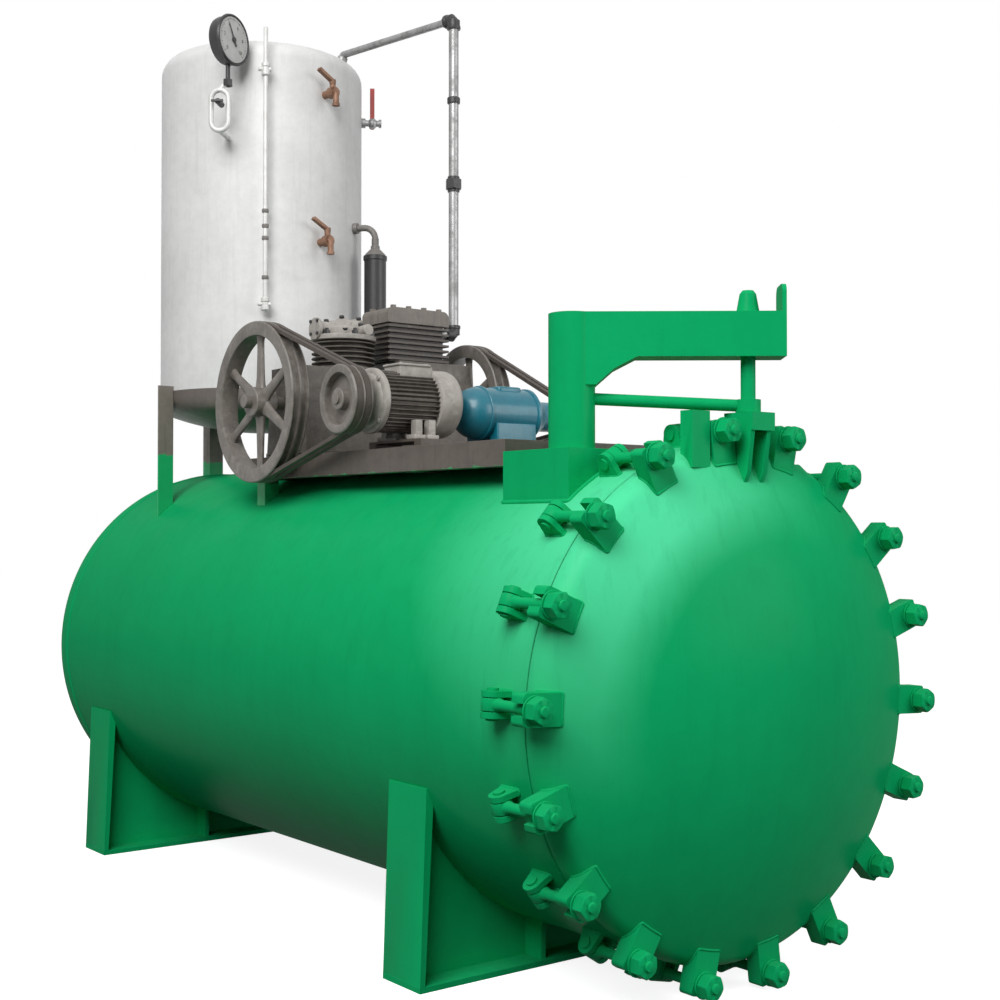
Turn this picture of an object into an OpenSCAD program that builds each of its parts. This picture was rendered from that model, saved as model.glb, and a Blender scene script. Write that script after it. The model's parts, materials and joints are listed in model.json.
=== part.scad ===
// Wood treatment pressure vessel: a horizontal autoclave on two saddles, with a swing-bolted
// door hung from a davit, and its compressors and air tank mounted on top.
// Millimetres, Z up. X = 0 is the vessel's axis plane, Z = 0 the floor. The origin lies on the
// floor under the middle of the front saddle, and the door faces -Y.

/* [Vessel] */
// Outside diameter of the shell
vessel_d = 1200; // [1100:10:1300]
// Thickness of the shell and head plates
plate_t = 12; // [8:1:20]
// Length of the shell from the door seam to the rear head weld
shell_len = 2520; // [2450:10:3000]
// Gap at the door seam, filled by the gasket
seam_gap = 6; // [4:1:10]
// Radial width of the machined rings at the seam
seal_ring_w = 40; // [30:1:60]
// Length of the machined rings at the seam
seal_ring_l = 36; // [20:1:60]
// Crown radius of the door dish
door_crown_r = 1200; // [1000:10:1500]
// Knuckle radius of the door
door_knuckle_r = 55; // [45:5:160]
// Straight skirt of the door
door_skirt_l = 2; // [2:1:40]
// Length of the machined ring inside the door
door_ring_l = 18; // [12:1:30]
// Knuckle radius of the rear head
knuckle_r = 130; // [100:5:160]
// Crown radius of the rear head
rear_crown_r = 960; // [800:10:1200]
// Straight skirt of the rear head
skirt_l = 30; // [20:1:50]

/* [Saddles] */
// Distance from the door seam to the middle of the front saddle
saddle_1_y = 480; // [420:5:600]
// Distance between the saddles
saddle_pitch = 1820; // [1600:10:2200]
// Length of each saddle along the vessel
saddle_w = 156; // [120:2:200]
// Plate thickness of the saddles
saddle_t = 14; // [8:1:20]
// Half width of a saddle at the floor
saddle_half_w = 588; // [560:1:640]
// Height on the shell, below the axis, where the side plates meet it
saddle_drop = 197; // [120:1:260]
// Clear height between the floor and the lowest clamp
floor_gap = 4; // [4:1:60]

/* [Door clamps] */
// Number of swing bolts round the door
bolt_n = 18; // [14:2:20]
// Radial distance of the bolt line outside the shell
bolt_out = 30; // [24:1:34]
// Diameter of the bolt shank
bolt_d = 24; // [16:1:26]
// Diameter of the bolt eye
eye_d = 48; // [40:1:50]
// Diameter of the washers
washer_d = 62; // [50:1:64]
// Turn of the whole ring of bolts from its even place beside the top
bolt_turn = 3; // [0:0.5:6]
// Width of the bolt eye between the lugs
eye_w = 28; // [18:1:28]
// Diameter of the hinge pins
pin_d = 18; // [12:1:20]
// Distance of the hinge pins behind the seam
pin_y = 75; // [70:1:90]
// Distance of the bolt ends in front of the seam
bolt_reach = 105; // [96:1:114]
// Thickness of the hinge lug plates
lug_t = 14; // [8:1:14]
// Width of a fork on the door
fork_w = 70; // [60:1:76]
// Front and rear faces of a fork, in front of the seam
fork_y = [24, 64];
// Side clearance between moving and fixed pieces of a clamp
clamp_clear = 1.5; // [1:0.5:3]
// Nut width across flats
nut_af = 52; // [40:1:53]
// Nut thickness
nut_t = 30; // [20:1:32]

/* [Davit] */
// Sideways distance of the davit column from the vessel's axis plane
column_x = 315; // [280:5:330]
// Distance of the davit column behind the seam
column_y = 185; // [160:5:230]
// Diameter of the column
column_d = 108; // [90:1:120]
// Height of the pedestal top above the shell's top line
pedestal_top = -14; // [-20:1:40]
// Sides of the pedestal box, across and along the vessel
pedestal_size = [130, 240];
// Height of the arm's top above the shell's top line
arm_top = 298; // [260:2:340]
// Depth of the arm
arm_h = 103; // [80:1:120]
// Width of the arm
arm_w = 90; // [70:1:100]
// Plate thickness of the arm and pedestal
arm_t = 10; // [6:1:14]
// Length of the arm beyond the hanging rod
arm_over = 73; // [60:1:90]
// Drop and length of the haunch under the arm
haunch = [64, 94];
// Distance of the hanging rod in front of the seam
rod_y = 70; // [60:1:80]
// Diameter of the hanging rod
rod_d = 34; // [28:1:40]
// Diameter of the spigot under the column
spigot_d = 60; // [40:1:70]
// Running clearance round the rod and the column spigot
swivel_clear = 0.6; // [0.3:0.1:1.5]

/* [Machine frame] */
// Width of the frame across the vessel
frame_w = 740; // [700:10:800]
// Front end of the frame behind the seam
frame_y0 = 365; // [365:5:420]
// Length of the frame
frame_l = 1290; // [1250:10:1400]
// Height of the channels
channel_h = 65; // [50:1:80]
// Flange width of the channels
channel_w = 42; // [35:1:60]
// Web and flange thickness of the channels
channel_t = 7; // [5:1:10]
// Height of the frame's top above the shell's top line
frame_top = 17; // [10:1:60]

/* [Compressors] */
// Distance of the crankshafts behind the seam
crank_y = 1480; // [1450:5:1500]
// Flywheel 1 diameter
wheel_1_d = 476; // [440:2:500]
// Flywheel 2 diameter
wheel_2_d = 376; // [340:2:400]
// Rim width of the flywheels
rim_w = 58; // [50:1:70]
// Radial thickness of the flywheel rims
rim_t = 42; // [30:1:50]
// Number of spokes
spoke_n = 6; // [5:1:8]
// Crankshaft diameter
shaft_d = 38; // [30:1:45]
// Crankshaft height of compressor 1 above the frame
crank_1_h = 159; // [150:1:180]
// Crankshaft height of compressor 2 above the frame
crank_2_h = 196; // [190:1:210]
// Distance from the axis plane to the middle of flywheel 1
wheel_1_x = 420; // [410:1:450]
// Distance from the axis plane to the middle of flywheel 2
wheel_2_x = 345; // [340:1:380]
// Ends of crankcase 1 across the vessel
case_1_x = [-350, -30];
// Ends of crankcase 2 across the vessel
case_2_x = [-5, 300];
// Places of the cylinders of compressors 1 and 2 across the vessel
cylinder_x = [-135, 95];
// Width of the finned block of compressor 2
cylinder_2_w = 230; // [210:2:240]
// Running clearance between shafts and housings
shaft_clear = 0.5; // [0.3:0.1:1]

/* [Motors] */
// Distance of the motor shafts behind the seam
motor_y = 1000; // [960:5:1040]
// Motor 1 body diameter over the fins
motor_1_d = 172; // [160:1:190]
// Motor 1 shaft height above the frame
motor_1_h = 135; // [125:1:150]
// Motor 1 pulley diameter
pulley_1_d = 188; // [150:2:200]
// Motor 2 body diameter
motor_2_d = 150; // [130:1:160]
// Motor 2 shaft height above the frame
motor_2_h = 118; // [105:1:130]
// Motor 2 pulley diameter
pulley_2_d = 100; // [80:2:120]
// Ends of motor 1 across the vessel
motor_1_x = [-335, -87];
// Ends of motor 2 across the vessel
motor_2_x = [-47, 290];
// Height of the rails under motor 1
base_h = 30; // [20:1:40]
// Belt width
belt_w = 17; // [13:1:20]
// Belt thickness
belt_t = 11; // [8:1:13]
// Distance between the two belts of a pair
belt_pitch = 26; // [22:1:30]

/* [Air tank] */
// Outside diameter of the tank
tank_d = 700; // [600:10:760]
// Wall thickness of the tank
tank_t = 6; // [4:1:10]
// Distance of the tank's axis behind the seam
tank_y = 2250; // [2200:5:2300]
// Height of the tank's lower weld above the shell's top line
tank_lift = 270; // [240:5:320]
// Straight length of the tank
tank_l = 1090; // [1000:10:1300]
// Crown radius of the tank heads
tank_crown_r = 950; // [700:10:1100]
// Knuckle radius of the tank heads
tank_knuckle_r = 60; // [45:5:90]
// Lap of the legs on the tank's side
leg_lap = 15; // [10:5:80]
// Height of the sight tube's lower cock above the tank's lower weld
sight_low = 260; // [200:10:400]
// Height of the sight tube's end above the tank's upper weld
sight_over = 116; // [80:1:140]
// Flange width of the angle legs
leg_w = 55; // [40:1:65]
// Thickness of the angle legs
leg_t = 6; // [5:1:8]

/* [Pipes] */
// Place of the air separator across the vessel and behind the seam
separator = [250, 1900];
// Bottom and top of the separator above the tank's lower weld
separator_span = [150, 477];
// Place of the delivery pipe across the vessel
delivery_x = 282; // [275:1:320]
// Height of the delivery port above crankshaft 2
delivery_rise = 217; // [205:1:222]
// Height of the suction port above crankshaft 2
suction_rise = 147; // [140:1:160]
// Distance of the suction port behind crankshaft 2
suction_dy = 40; // [30:1:50]
// Height of the delivery pipe's top run above the tank's upper weld
delivery_over = 102; // [95:1:140]
// Lean of the pipe's boss on the tank's crown
landing_lean = 18.4; // [10:0.1:18.8]
// Turn of the boss round the tank, from +X
landing_turn = -53; // [-90:1:-20]
// Turns of the two taps round the tank, from the front toward the right
cock_turn = [8, 5];
// Distances of the two taps below the tank's upper weld
cock_drop = [88, 592];
// Height of the levers above their taps
lever_lift = 30; // [24:1:40]
// Distance of the levers' axes from the front of their taps
lever_y = 22; // [18:1:30]
// Reach of the levers from their axes
lever_l = 66; // [50:1:80]
// Reach of the taps out from the tank's wall
cock_out = 64; // [55:1:80]
// Drop of the collar on the delivery pipe below its top run
collar_drop = 275; // [200:5:400]
// Turn of the lever valve round the tank, from the front toward the right
valve_turn = 60; // [40:1:80]
// Distance of the lever valve below the tank's upper weld
valve_drop = 103; // [60:1:140]
// Reach of the lever valve out from the tank's wall
valve_out = 62; // [50:1:90]

/* [Hidden] */
$fn = 64;
vessel_r = vessel_d / 2;
clamp_r = vessel_r + bolt_out;
axis_z = clamp_r + washer_d / 2 + floor_gap;
top_z = axis_z + vessel_r;
bolt_step = 360 / bolt_n;
column_base_z = top_z + pedestal_top;
arm_z1 = top_z + arm_top;
arm_z0 = arm_z1 - arm_h;
hanger_z = arm_z0 - 126;
arm_reach = norm([column_x, column_y + rod_y]);
arm_turn = -atan2(column_y + rod_y, column_x);
frame_z1 = top_z + frame_top;
frame_z0 = frame_z1 - channel_h;
crank_1_z = frame_z1 + crank_1_h;
crank_2_z = frame_z1 + crank_2_h;
motor_1_z = frame_z1 + motor_1_h;
motor_2_z = frame_z1 + motor_2_h;
tank_r = tank_d / 2;
tank_z0 = top_z + tank_lift;
tank_z1 = tank_z0 + tank_l;
gasket_t = seam_gap - 0.3;
delivery_z = crank_2_z + delivery_rise;
suction_z = crank_2_z + suction_rise;
delivery_top_z = tank_z1 + delivery_over;
separator_z = separator_span + [tank_z0, tank_z0];

// Box between two corners
module box(p, q) {
    translate(p) cube(q - p);
}

// Cylinder along X from x0 to x1 round (y, z)
module bar_x(x0, x1, y, z, r) {
    translate([x0, y, z]) rotate([0, 90, 0]) cylinder(h = x1 - x0, r = r);
}

// Cylinder along Y from y0 to y1 round (x, z)
module bar_y(y0, y1, x, z, r) {
    translate([x, y0, z]) rotate([-90, 0, 0]) cylinder(h = y1 - y0, r = r);
}

// Cylinder along Z from z0 to z1 round (x, y)
module bar_z(z0, z1, x, y, r) {
    translate([x, y, z0]) cylinder(h = z1 - z0, r = r);
}

// Hexagonal nut or bolt head standing on the XY plane
module hex(af, h) {
    cylinder(h = h, r = af / sqrt(3), $fn = 6);
}

// Moves from coordinates measured at the door seam to the part's own origin
module at_seam() {
    translate([0, -saddle_1_y, 0]) children();
}

// Stands children on the vessel's axis at the seam, with their Z along the vessel
module on_axis() {
    translate([0, 0, axis_z]) rotate([-90, 0, 0]) children();
}

// Repeats children round the seam, with local Z radial and local X along the rim
module round_seam(k0 = 0, k1 = bolt_n - 1) {
    for (k = [k0:k1])
        translate([0, 0, axis_z]) rotate([0, bolt_step * (k + 0.5) + bolt_turn, 0]) children();
}

// Height of a dished head above its skirt
function dish_h(r, crown, kn) = crown - sqrt(pow(crown - kn, 2) - pow(r - kn, 2));

// Half section of a solid dished head: skirt, knuckle arc and crown arc
module dish_half(r, crown, kn, skirt) {
    h = dish_h(r, crown, kn);
    lean = asin((r - kn) / (crown - kn));
    crown_y = skirt + h - crown;
    square([r, skirt]);
    intersection() {
        translate([r - kn, skirt]) circle(kn);
        square([r, skirt + kn]);
    }
    intersection() {
        translate([0, crown_y]) circle(crown, $fn = 180);
        polygon([
            [0, 0], [r - kn, 0], [r - kn, skirt],
            [(crown + 1) * sin(lean), crown_y + (crown + 1) * cos(lean)], [0, skirt + h + 1]
        ]);
    }
}

// Solid dished head standing on the XY plane
module dish_solid(r, crown, kn, skirt) {
    rotate_extrude($fn = 96) dish_half(r, crown, kn, skirt);
}

// Dished head of plate thickness t, standing on the XY plane
module dish(r, t, crown, kn, skirt) {
    rotate_extrude($fn = 96)
        difference() {
            dish_half(r, crown, kn, skirt);
            translate([0, -0.01]) dish_half(r - t, crown - t, kn - t, skirt + 0.01);
        }
}

module vessel_shell() {
    color("seagreen") at_seam() on_axis()
        rotate_extrude($fn = 96)
            translate([vessel_r, seam_gap / 2]) {
                translate([-plate_t, 0]) square([plate_t, shell_len - seam_gap / 2]);
                translate([-seal_ring_w, 0]) square([seal_ring_w, seal_ring_l]);
            }
}

module rear_head() {
    color("seagreen") at_seam() translate([0, shell_len, 0]) on_axis()
        dish(vessel_r, plate_t, rear_crown_r, knuckle_r, skirt_l);
}

module door_gasket() {
    inner = vessel_r - seal_ring_w * 0.8;
    outer = vessel_r - seal_ring_w * 0.2;
    color("black") at_seam() on_axis()
        translate([0, 0, seam_gap / 2 - gasket_t])
            difference() {
                cylinder(h = gasket_t, r = outer, $fn = 96);
                translate([0, 0, -1]) cylinder(h = gasket_t + 2, r = inner, $fn = 96);
            }
}

// Saddle centred on Y = 0: web, sloping side plates and base plate, cut to the shell
module saddle() {
    rise = axis_z - saddle_drop;
    half_top = sqrt(vessel_r * vessel_r - saddle_drop * saddle_drop);
    slope = (saddle_half_w - half_top) / rise;
    color("seagreen") difference() {
        union() {
            translate([0, saddle_t / 2, 0]) rotate([90, 0, 0]) linear_extrude(saddle_t)
                polygon([
                    [-saddle_half_w + 1, 1], [saddle_half_w - 1, 1],
                    [half_top - 1, rise], [-half_top + 1, rise]
                ]);
            for (side = [-1, 1])
                translate([0, saddle_w / 2, 0]) rotate([90, 0, 0]) linear_extrude(saddle_w)
                    polygon([
                        [side * saddle_half_w, 0], [side * (saddle_half_w - saddle_t), 0],
                        [side * (half_top - saddle_t - 4), rise], [side * (half_top + 4), rise]
                    ]);
            box([-saddle_half_w, -saddle_w / 2, 0], [saddle_half_w, saddle_w / 2, saddle_t]);
            for (x = [-0.36, 0.36] * vessel_d / 2)
                box([x - saddle_t / 2, -saddle_w / 2 + 8, 1], [x + saddle_t / 2, saddle_w / 2 - 8, rise]);
        }
        translate([0, -saddle_w, axis_z]) rotate([-90, 0, 0])
            cylinder(h = 2 * saddle_w, r = vessel_r, $fn = 96);
    }
}

module front_saddle() {
    saddle();
}

module rear_saddle() {
    translate([0, saddle_pitch, 0]) saddle();
}

// Side view of one hinge lug, radial height against distance behind the seam
module lug_side() {
    translate([pin_y, clamp_r]) circle(eye_d / 2);
    polygon([
        [pin_y - eye_d / 2, clamp_r], [pin_y + eye_d / 2, clamp_r],
        [pin_y + eye_d / 2 + 8, vessel_r - 4], [pin_y - eye_d / 2 - 8, vessel_r - 4]
    ]);
}

module hinge_lugs() {
    inner = eye_w / 2 + clamp_clear;
    color("seagreen") at_seam() difference() {
        round_seam()
            for (side = [-1, 1])
                translate([side * (inner + lug_t / 2) - lug_t / 2, 0, 0])
                    difference() {
                        rotate([90, 0, 90]) linear_extrude(lug_t) lug_side();
                        bar_x(-1, lug_t + 1, pin_y, clamp_r, pin_d / 2 + 0.3);
                    }
        on_axis() cylinder(h = 2 * pin_y + eye_d, r = vessel_r, $fn = 96);
    }
}

module hinge_pins() {
    half = eye_w / 2 + clamp_clear + lug_t;
    color("gray") at_seam() round_seam() {
        bar_x(-half - 5, half + 5, pin_y, clamp_r, pin_d / 2);
        for (x = [-half - 5, half + 0.3])
            bar_x(x, x + 4.7, pin_y, clamp_r, pin_d / 2 + 4);
    }
}

// Eye bolt with its washer and nut, bolt number k of the ring
module swing_bolt(k) {
    seat = fork_y[1];
    color("seagreen") at_seam() round_seam(k, k) {
        difference() {
            union() {
                bar_x(-eye_w / 2, eye_w / 2, pin_y, clamp_r, eye_d / 2);
                bar_y(-bolt_reach, pin_y - pin_d / 2 - 4, 0, clamp_r, bolt_d / 2);
            }
            bar_x(-eye_w, eye_w, pin_y, clamp_r, pin_d / 2 + 0.4);
        }
        translate([0, -seat - 0.3, clamp_r]) rotate([90, 0, 0]) cylinder(h = 4, r = washer_d / 2);
        translate([0, -seat - 4.3, clamp_r]) rotate([90, 30, 0]) hex(nut_af, nut_t);
    }
}

module door_dish() {
    color("seagreen") at_seam() translate([0, -seam_gap / 2, 0]) mirror([0, 1, 0]) on_axis() {
        dish(vessel_r, plate_t, door_crown_r, door_knuckle_r, door_skirt_l);
        difference() {
            cylinder(h = door_ring_l, r = vessel_r - plate_t / 2, $fn = 96);
            translate([0, 0, -1]) cylinder(h = door_ring_l + 2, r = vessel_r - seal_ring_w, $fn = 96);
        }
    }
}

// Full outside of the door, used to cut what is welded to it
module door_outside() {
    translate([0, -seam_gap / 2, 0]) mirror([0, 1, 0]) on_axis()
        dish_solid(vessel_r, door_crown_r, door_knuckle_r, door_skirt_l);
}

// Front view of a fork: a block with an open slot for the bolt
module fork_front() {
    slot = bolt_d / 2 + clamp_clear;
    high = clamp_r + eye_d / 2 + 2;
    root = vessel_r - door_knuckle_r;
    difference() {
        union() {
            translate([-fork_w / 2, root]) square([fork_w, high - root - 10]);
            translate([-fork_w / 2 + 10, vessel_r]) square([fork_w - 20, high - vessel_r]);
            for (x = [-1, 1] * (fork_w / 2 - 10)) translate([x, high - 10]) circle(10);
        }
        translate([0, clamp_r]) circle(slot);
        translate([-slot, clamp_r]) square([2 * slot, washer_d]);
    }
}

// Relief on a fork's outer front corner for the washer as its bolt swings out round the pin
module washer_path() {
    reach = pin_y + fork_y[1];
    difference() {
        translate([-fork_w, -fork_y[1] - 10, clamp_r]) cube([2 * fork_w, 44, washer_d]);
        bar_x(-fork_w - 1, fork_w + 1, pin_y, clamp_r, reach, $fn = 180);
    }
}

module door_forks() {
    color("seagreen") at_seam() difference() {
        round_seam()
            difference() {
                translate([0, -fork_y[0], 0]) rotate([90, 0, 0])
                    linear_extrude(fork_y[1] - fork_y[0]) fork_front();
                washer_path();
            }
        door_outside();
    }
}

module davit_pedestal() {
    x = pedestal_size[0] / 2;
    y = pedestal_size[1] / 2;
    mid_y = column_y + y - pedestal_size[0] / 2;
    bore = spigot_d / 2 + swivel_clear;
    low = axis_z + vessel_r * 0.6;
    color("seagreen") at_seam() difference() {
        union() {
            difference() {
                box([-column_x - x, mid_y - y, low], [-column_x + x, mid_y + y, column_base_z]);
                box(
                    [-column_x - x + arm_t, mid_y - y + arm_t, low - 1],
                    [-column_x + x - arm_t, mid_y + y - arm_t, column_base_z - arm_t]
                );
            }
            bar_z(column_base_z - 90, column_base_z - 1, -column_x, column_y, bore + 9);
        }
        bar_z(column_base_z - 91, column_base_z + 1, -column_x, column_y, bore);
        on_axis() cylinder(h = 2 * (column_y + pedestal_size[1]), r = vessel_r, $fn = 96);
    }
}

// Channel along X or Y as a box with its inner side open
module channel(l) {
    difference() {
        cube([channel_w, l, channel_h - 5]);
        translate([channel_t, -1, channel_t])
            cube([channel_w, l + 2, channel_h - 5 - 2 * channel_t]);
    }
}

module machine_frame() {
    deck = 6;
    half = frame_w / 2;
    post = 48;
    color("dimgray") at_seam() {
        translate([-half, frame_y0, frame_z0]) channel(frame_l);
        mirror([1, 0, 0]) translate([-half, frame_y0, frame_z0]) channel(frame_l);
        box([-half, frame_y0, frame_z1 - deck], [half, frame_y0 + frame_l, frame_z1]);
        difference() {
            union() {
                for (x = [-half, half - post])
                    translate([x, frame_y0 + frame_l - 110, axis_z + vessel_r * 0.7])
                        cube([post, post, frame_z0 - axis_z - vessel_r * 0.7]);
                for (y = [0, 0.36, 0.68, 1] * (frame_l - channel_w))
                    translate([half - channel_t, frame_y0 + y, frame_z0]) rotate([0, 0, 90])
                        channel(frame_w - 2 * channel_t);
            }
            on_axis() cylinder(h = shell_len, r = vessel_r, $fn = 96);
        }
    }
}

// Stands children at the davit column, with local X along the arm
module at_column() {
    translate([-column_x, column_y, 0]) rotate([0, 0, arm_turn]) children();
}

module davit_column() {
    color("seagreen") at_seam() at_column() {
        bar_z(column_base_z + 0.3, arm_z1, 0, 0, column_d / 2);
        bar_z(column_base_z - 48, column_base_z + 1, 0, 0, spigot_d / 2);
    }
}

// Side outline of the arm with its haunch, drawn in by an inset all round
module arm_side(inset) {
    end_x = arm_reach + arm_over;
    foot = column_d / 2 + haunch[1];
    polygon([
        [0, arm_z1 - inset], [end_x - inset, arm_z1 - inset], [end_x - inset, arm_z0 + inset],
        [foot + inset / 2, arm_z0 + inset],
        [column_d / 2 + haunch[1] * 0.45, arm_z0 + inset - haunch[0] * 0.42],
        [column_d / 2 + inset / 2, arm_z0 + inset - haunch[0]], [0, arm_z0 + inset - haunch[0]]
    ]);
}

module davit_arm() {
    end_x = arm_reach + arm_over;
    plate_h = 64;
    color("seagreen") at_seam() at_column() difference() {
        union() {
            difference() {
                translate([0, arm_w / 2, 0]) rotate([90, 0, 0]) linear_extrude(arm_w) arm_side(0);
                translate([0, arm_w / 2 - arm_t, 0]) rotate([90, 0, 0])
                    linear_extrude(arm_w - 2 * arm_t) arm_side(arm_t);
            }
            translate([end_x - 1, 0, 0]) rotate([90, 0, 90]) linear_extrude(arm_t) {
                translate([-arm_w / 2, arm_z0]) square([arm_w, arm_h + plate_h - 20]);
                translate([-arm_w / 2 + 20, arm_z0]) square([arm_w - 40, arm_h + plate_h]);
                for (x = [-1, 1] * (arm_w / 2 - 20)) translate([x, arm_z1 + plate_h - 20]) circle(20);
            }
        }
        bar_z(arm_z0 - haunch[0] - 40, arm_z1 + 1, 0, 0, column_d / 2);
        bar_z(arm_z0 - 1, arm_z1 + 1, arm_reach, 0, rod_d / 2 + swivel_clear);
    }
}

module davit_stay() {
    r = 14;
    rod_z = hanger_z + 15.5;
    column_z = arm_z0 - 91;
    run = [arm_reach, 0, rod_z - column_z];
    color("seagreen") at_seam() at_column() difference() {
        union() {
            translate([0, 0, column_z]) rotate([0, 90 - atan2(run[2], run[0]), 0])
                cylinder(h = norm(run), r = r);
            bar_z(rod_z - r - 0.5, rod_z + r + 0.5, arm_reach, 0, rod_d / 2 + 12);
        }
        bar_z(column_z - 40, column_z + 40, 0, 0, column_d / 2);
        bar_z(rod_z - 40, rod_z + 40, arm_reach, 0, rod_d / 2 + swivel_clear);
    }
}

// Bracket on the door: yoke plates either side of a clamp, a box round the rod and two gussets
module door_hanger() {
    z1 = hanger_z;
    box_z = z1 - 42;
    color("seagreen") at_seam() difference() {
        union() {
            box([-172, -62, top_z - 60], [-116, -24, z1]);
            box([-31, -62, top_z - 60], [72, -24, z1]);
            box([-31, -112, box_z], [44, -60, z1]);
            for (x = [-31, 22])
                translate([x, 0, 0]) rotate([90, 0, 90]) linear_extrude(13)
                    polygon([
                        [-50, box_z + 1], [-50, top_z - 40], [-84, top_z - 92], [-95, top_z - 70],
                        [-108, box_z + 1]
                    ]);
        }
        door_outside();
        bar_z(box_z - 1, z1 + 1, 0, -rod_y, rod_d / 2 + 0.3);
        translate([0, -rod_y, box_z - 1]) cylinder(h = 19, r = 31);
    }
}

module hanging_rod() {
    z1 = hanger_z;
    nut_z = arm_z1 + 0.3;
    color("seagreen") at_seam() translate([0, -rod_y, 0]) {
        bar_z(z1 - 42, nut_z + 30, 0, 0, rod_d / 2);
        translate([0, 0, nut_z]) cylinder(h = 44, r1 = 27, r2 = 19);
        translate([0, 0, nut_z + 44]) cylinder(h = 8, r1 = 19, r2 = 13);
        translate([0, 0, z1 - 41]) hex(50, 16.7);
    }
}

// Spoked flywheel on the YZ plane, centred on the origin, with grooves for a pair of belts
module spoked_wheel(r, hub_r) {
    rotate([0, 90, 0]) {
        rotate_extrude($fn = 96) difference() {
            translate([r - rim_t, -rim_w / 2]) square([rim_t, rim_w]);
            for (s = [-1, 1])
                translate([r - belt_t, s * belt_pitch / 2 - belt_w / 2 - 1.5])
                    square([belt_t + 1, belt_w + 3]);
        }
        translate([0, 0, -rim_w * 0.6]) cylinder(h = rim_w * 1.2, r = hub_r);
        for (k = [0:spoke_n - 1])
            rotate([0, 90, k * 360 / spoke_n])
                translate([0, 0, hub_r * 0.6]) cylinder(h = r - rim_t / 2 - hub_r * 0.6, r1 = 19, r2 = 13);
    }
}

// Flywheels, each with its stub of crankshaft
module flywheel_1() {
    color("dimgray") at_seam() translate([-wheel_1_x, crank_y, crank_1_z]) {
        spoked_wheel(wheel_1_d / 2, 44);
        bar_x(-rim_w, case_1_x[0] + wheel_1_x + 20, 0, 0, shaft_d / 2);
    }
}

module flywheel_2() {
    color("dimgray") at_seam() translate([wheel_2_x, crank_y, crank_2_z]) {
        spoked_wheel(wheel_2_d / 2, 38);
        bar_x(case_2_x[1] - wheel_2_x - 20, rim_w, 0, 0, shaft_d / 2);
    }
}

// Outline round two pulleys in the YZ plane: a and b are their centres
module loop_side(a, ra, b, rb) {
    d = b - a;
    lead = atan2(d[1], d[0]);
    wrap = acos((ra - rb) / norm(d));
    up = [cos(lead + wrap), sin(lead + wrap)];
    down = [cos(lead - wrap), sin(lead - wrap)];
    translate(a) circle(ra, $fn = 96);
    translate(b) circle(rb, $fn = 96);
    polygon([a + ra * up, b + rb * up, b + rb * down, a + ra * down]);
}

// Pair of belts round a wheel and a pulley, centred on x
module belts(x, a, ra, b, rb) {
    sink = belt_t - 0.4;
    for (s = [-1, 1])
        translate([x + s * belt_pitch / 2 - belt_w / 2, 0, 0]) rotate([90, 0, 90])
            linear_extrude(belt_w) difference() {
                loop_side(a, ra - sink + belt_t, b, rb - sink + belt_t);
                loop_side(a, ra - sink, b, rb - sink);
            }
}

module belts_1() {
    color("black") at_seam()
        belts(-wheel_1_x, [motor_y, motor_1_z], pulley_1_d / 2, [crank_y, crank_1_z], wheel_1_d / 2);
}

module belts_2() {
    color("black") at_seam()
        belts(wheel_2_x, [motor_y, motor_2_z], pulley_2_d / 2, [crank_y, crank_2_z], wheel_2_d / 2);
}

// Grooved pulley on the YZ plane, centred on the origin
module pulley(r, hub_r) {
    web = 14;
    rotate([0, 90, 0]) rotate_extrude($fn = 96) {
        difference() {
            translate([r - 24, -rim_w / 2]) square([24, rim_w]);
            for (s = [-1, 1])
                translate([r - belt_t, s * belt_pitch / 2 - belt_w / 2 - 1.5])
                    square([belt_t + 1, belt_w + 3]);
        }
        translate([0, -web / 2]) square([r - 20, web]);
        translate([0, -rim_w / 2]) square([hub_r, rim_w]);
    }
}

module motor_pulley_1() {
    color("dimgray") at_seam() translate([-wheel_1_x, motor_y, motor_1_z]) {
        pulley(pulley_1_d / 2, 30);
        bar_x(-rim_w / 2 - 6, motor_1_x[0] + wheel_1_x + 20, 0, 0, 14);
    }
}

module motor_pulley_2() {
    color("dimgray") at_seam() translate([wheel_2_x, motor_y, motor_2_z]) {
        pulley(pulley_2_d / 2, 26);
        bar_x(motor_2_x[1] - wheel_2_x - 20, rim_w / 2 + 6, 0, 0, 12);
    }
}

// Crankcase between x[0] and x[1] with its shaft at height z; side is where the flywheel is
module crankcase(x, z, side) {
    r = 104;
    foot_y = 140;
    low = frame_z1 - z;
    face_x = side < 0 ? x[0] : x[1];
    mid = (x[0] + x[1]) / 2;
    translate([0, crank_y, z]) difference() {
        union() {
            translate([x[0] + 16, 0, 0]) rotate([90, 0, 90]) linear_extrude(x[1] - x[0] - 32) {
                circle(r);
                polygon([[-r, 0], [r, 0], [foot_y - 20, low + 8], [-foot_y + 20, low + 8]]);
                translate([-92, 0]) square([184, r + 6]);
            }
            box([x[0] + 24, -foot_y, low], [x[1] - 24, foot_y, low + 16]);
            bar_x(x[0] + 6, x[1] - 6, 0, 0, r - 22);
            bar_x(face_x - (side < 0 ? 0 : 24), face_x + (side < 0 ? 24 : 0), 0, 0, 56);
            translate([mid, 0, 6]) rotate([90, 0, 0]) cylinder(h = r + 14, r = 66);
            translate([mid, 0, 6]) rotate([90, 0, 0]) cylinder(h = r + 22, r = 46);
        }
        bar_x(face_x - 26, face_x + 26, 0, 0, shaft_d / 2 + shaft_clear);
    }
}

module compressor_1_crankcase() {
    color("dimgray") at_seam() crankcase(case_1_x, crank_1_z, -1);
}

module compressor_2_crankcase() {
    color("dimgray") at_seam() crankcase(case_2_x, crank_2_z, 1);
}

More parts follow.
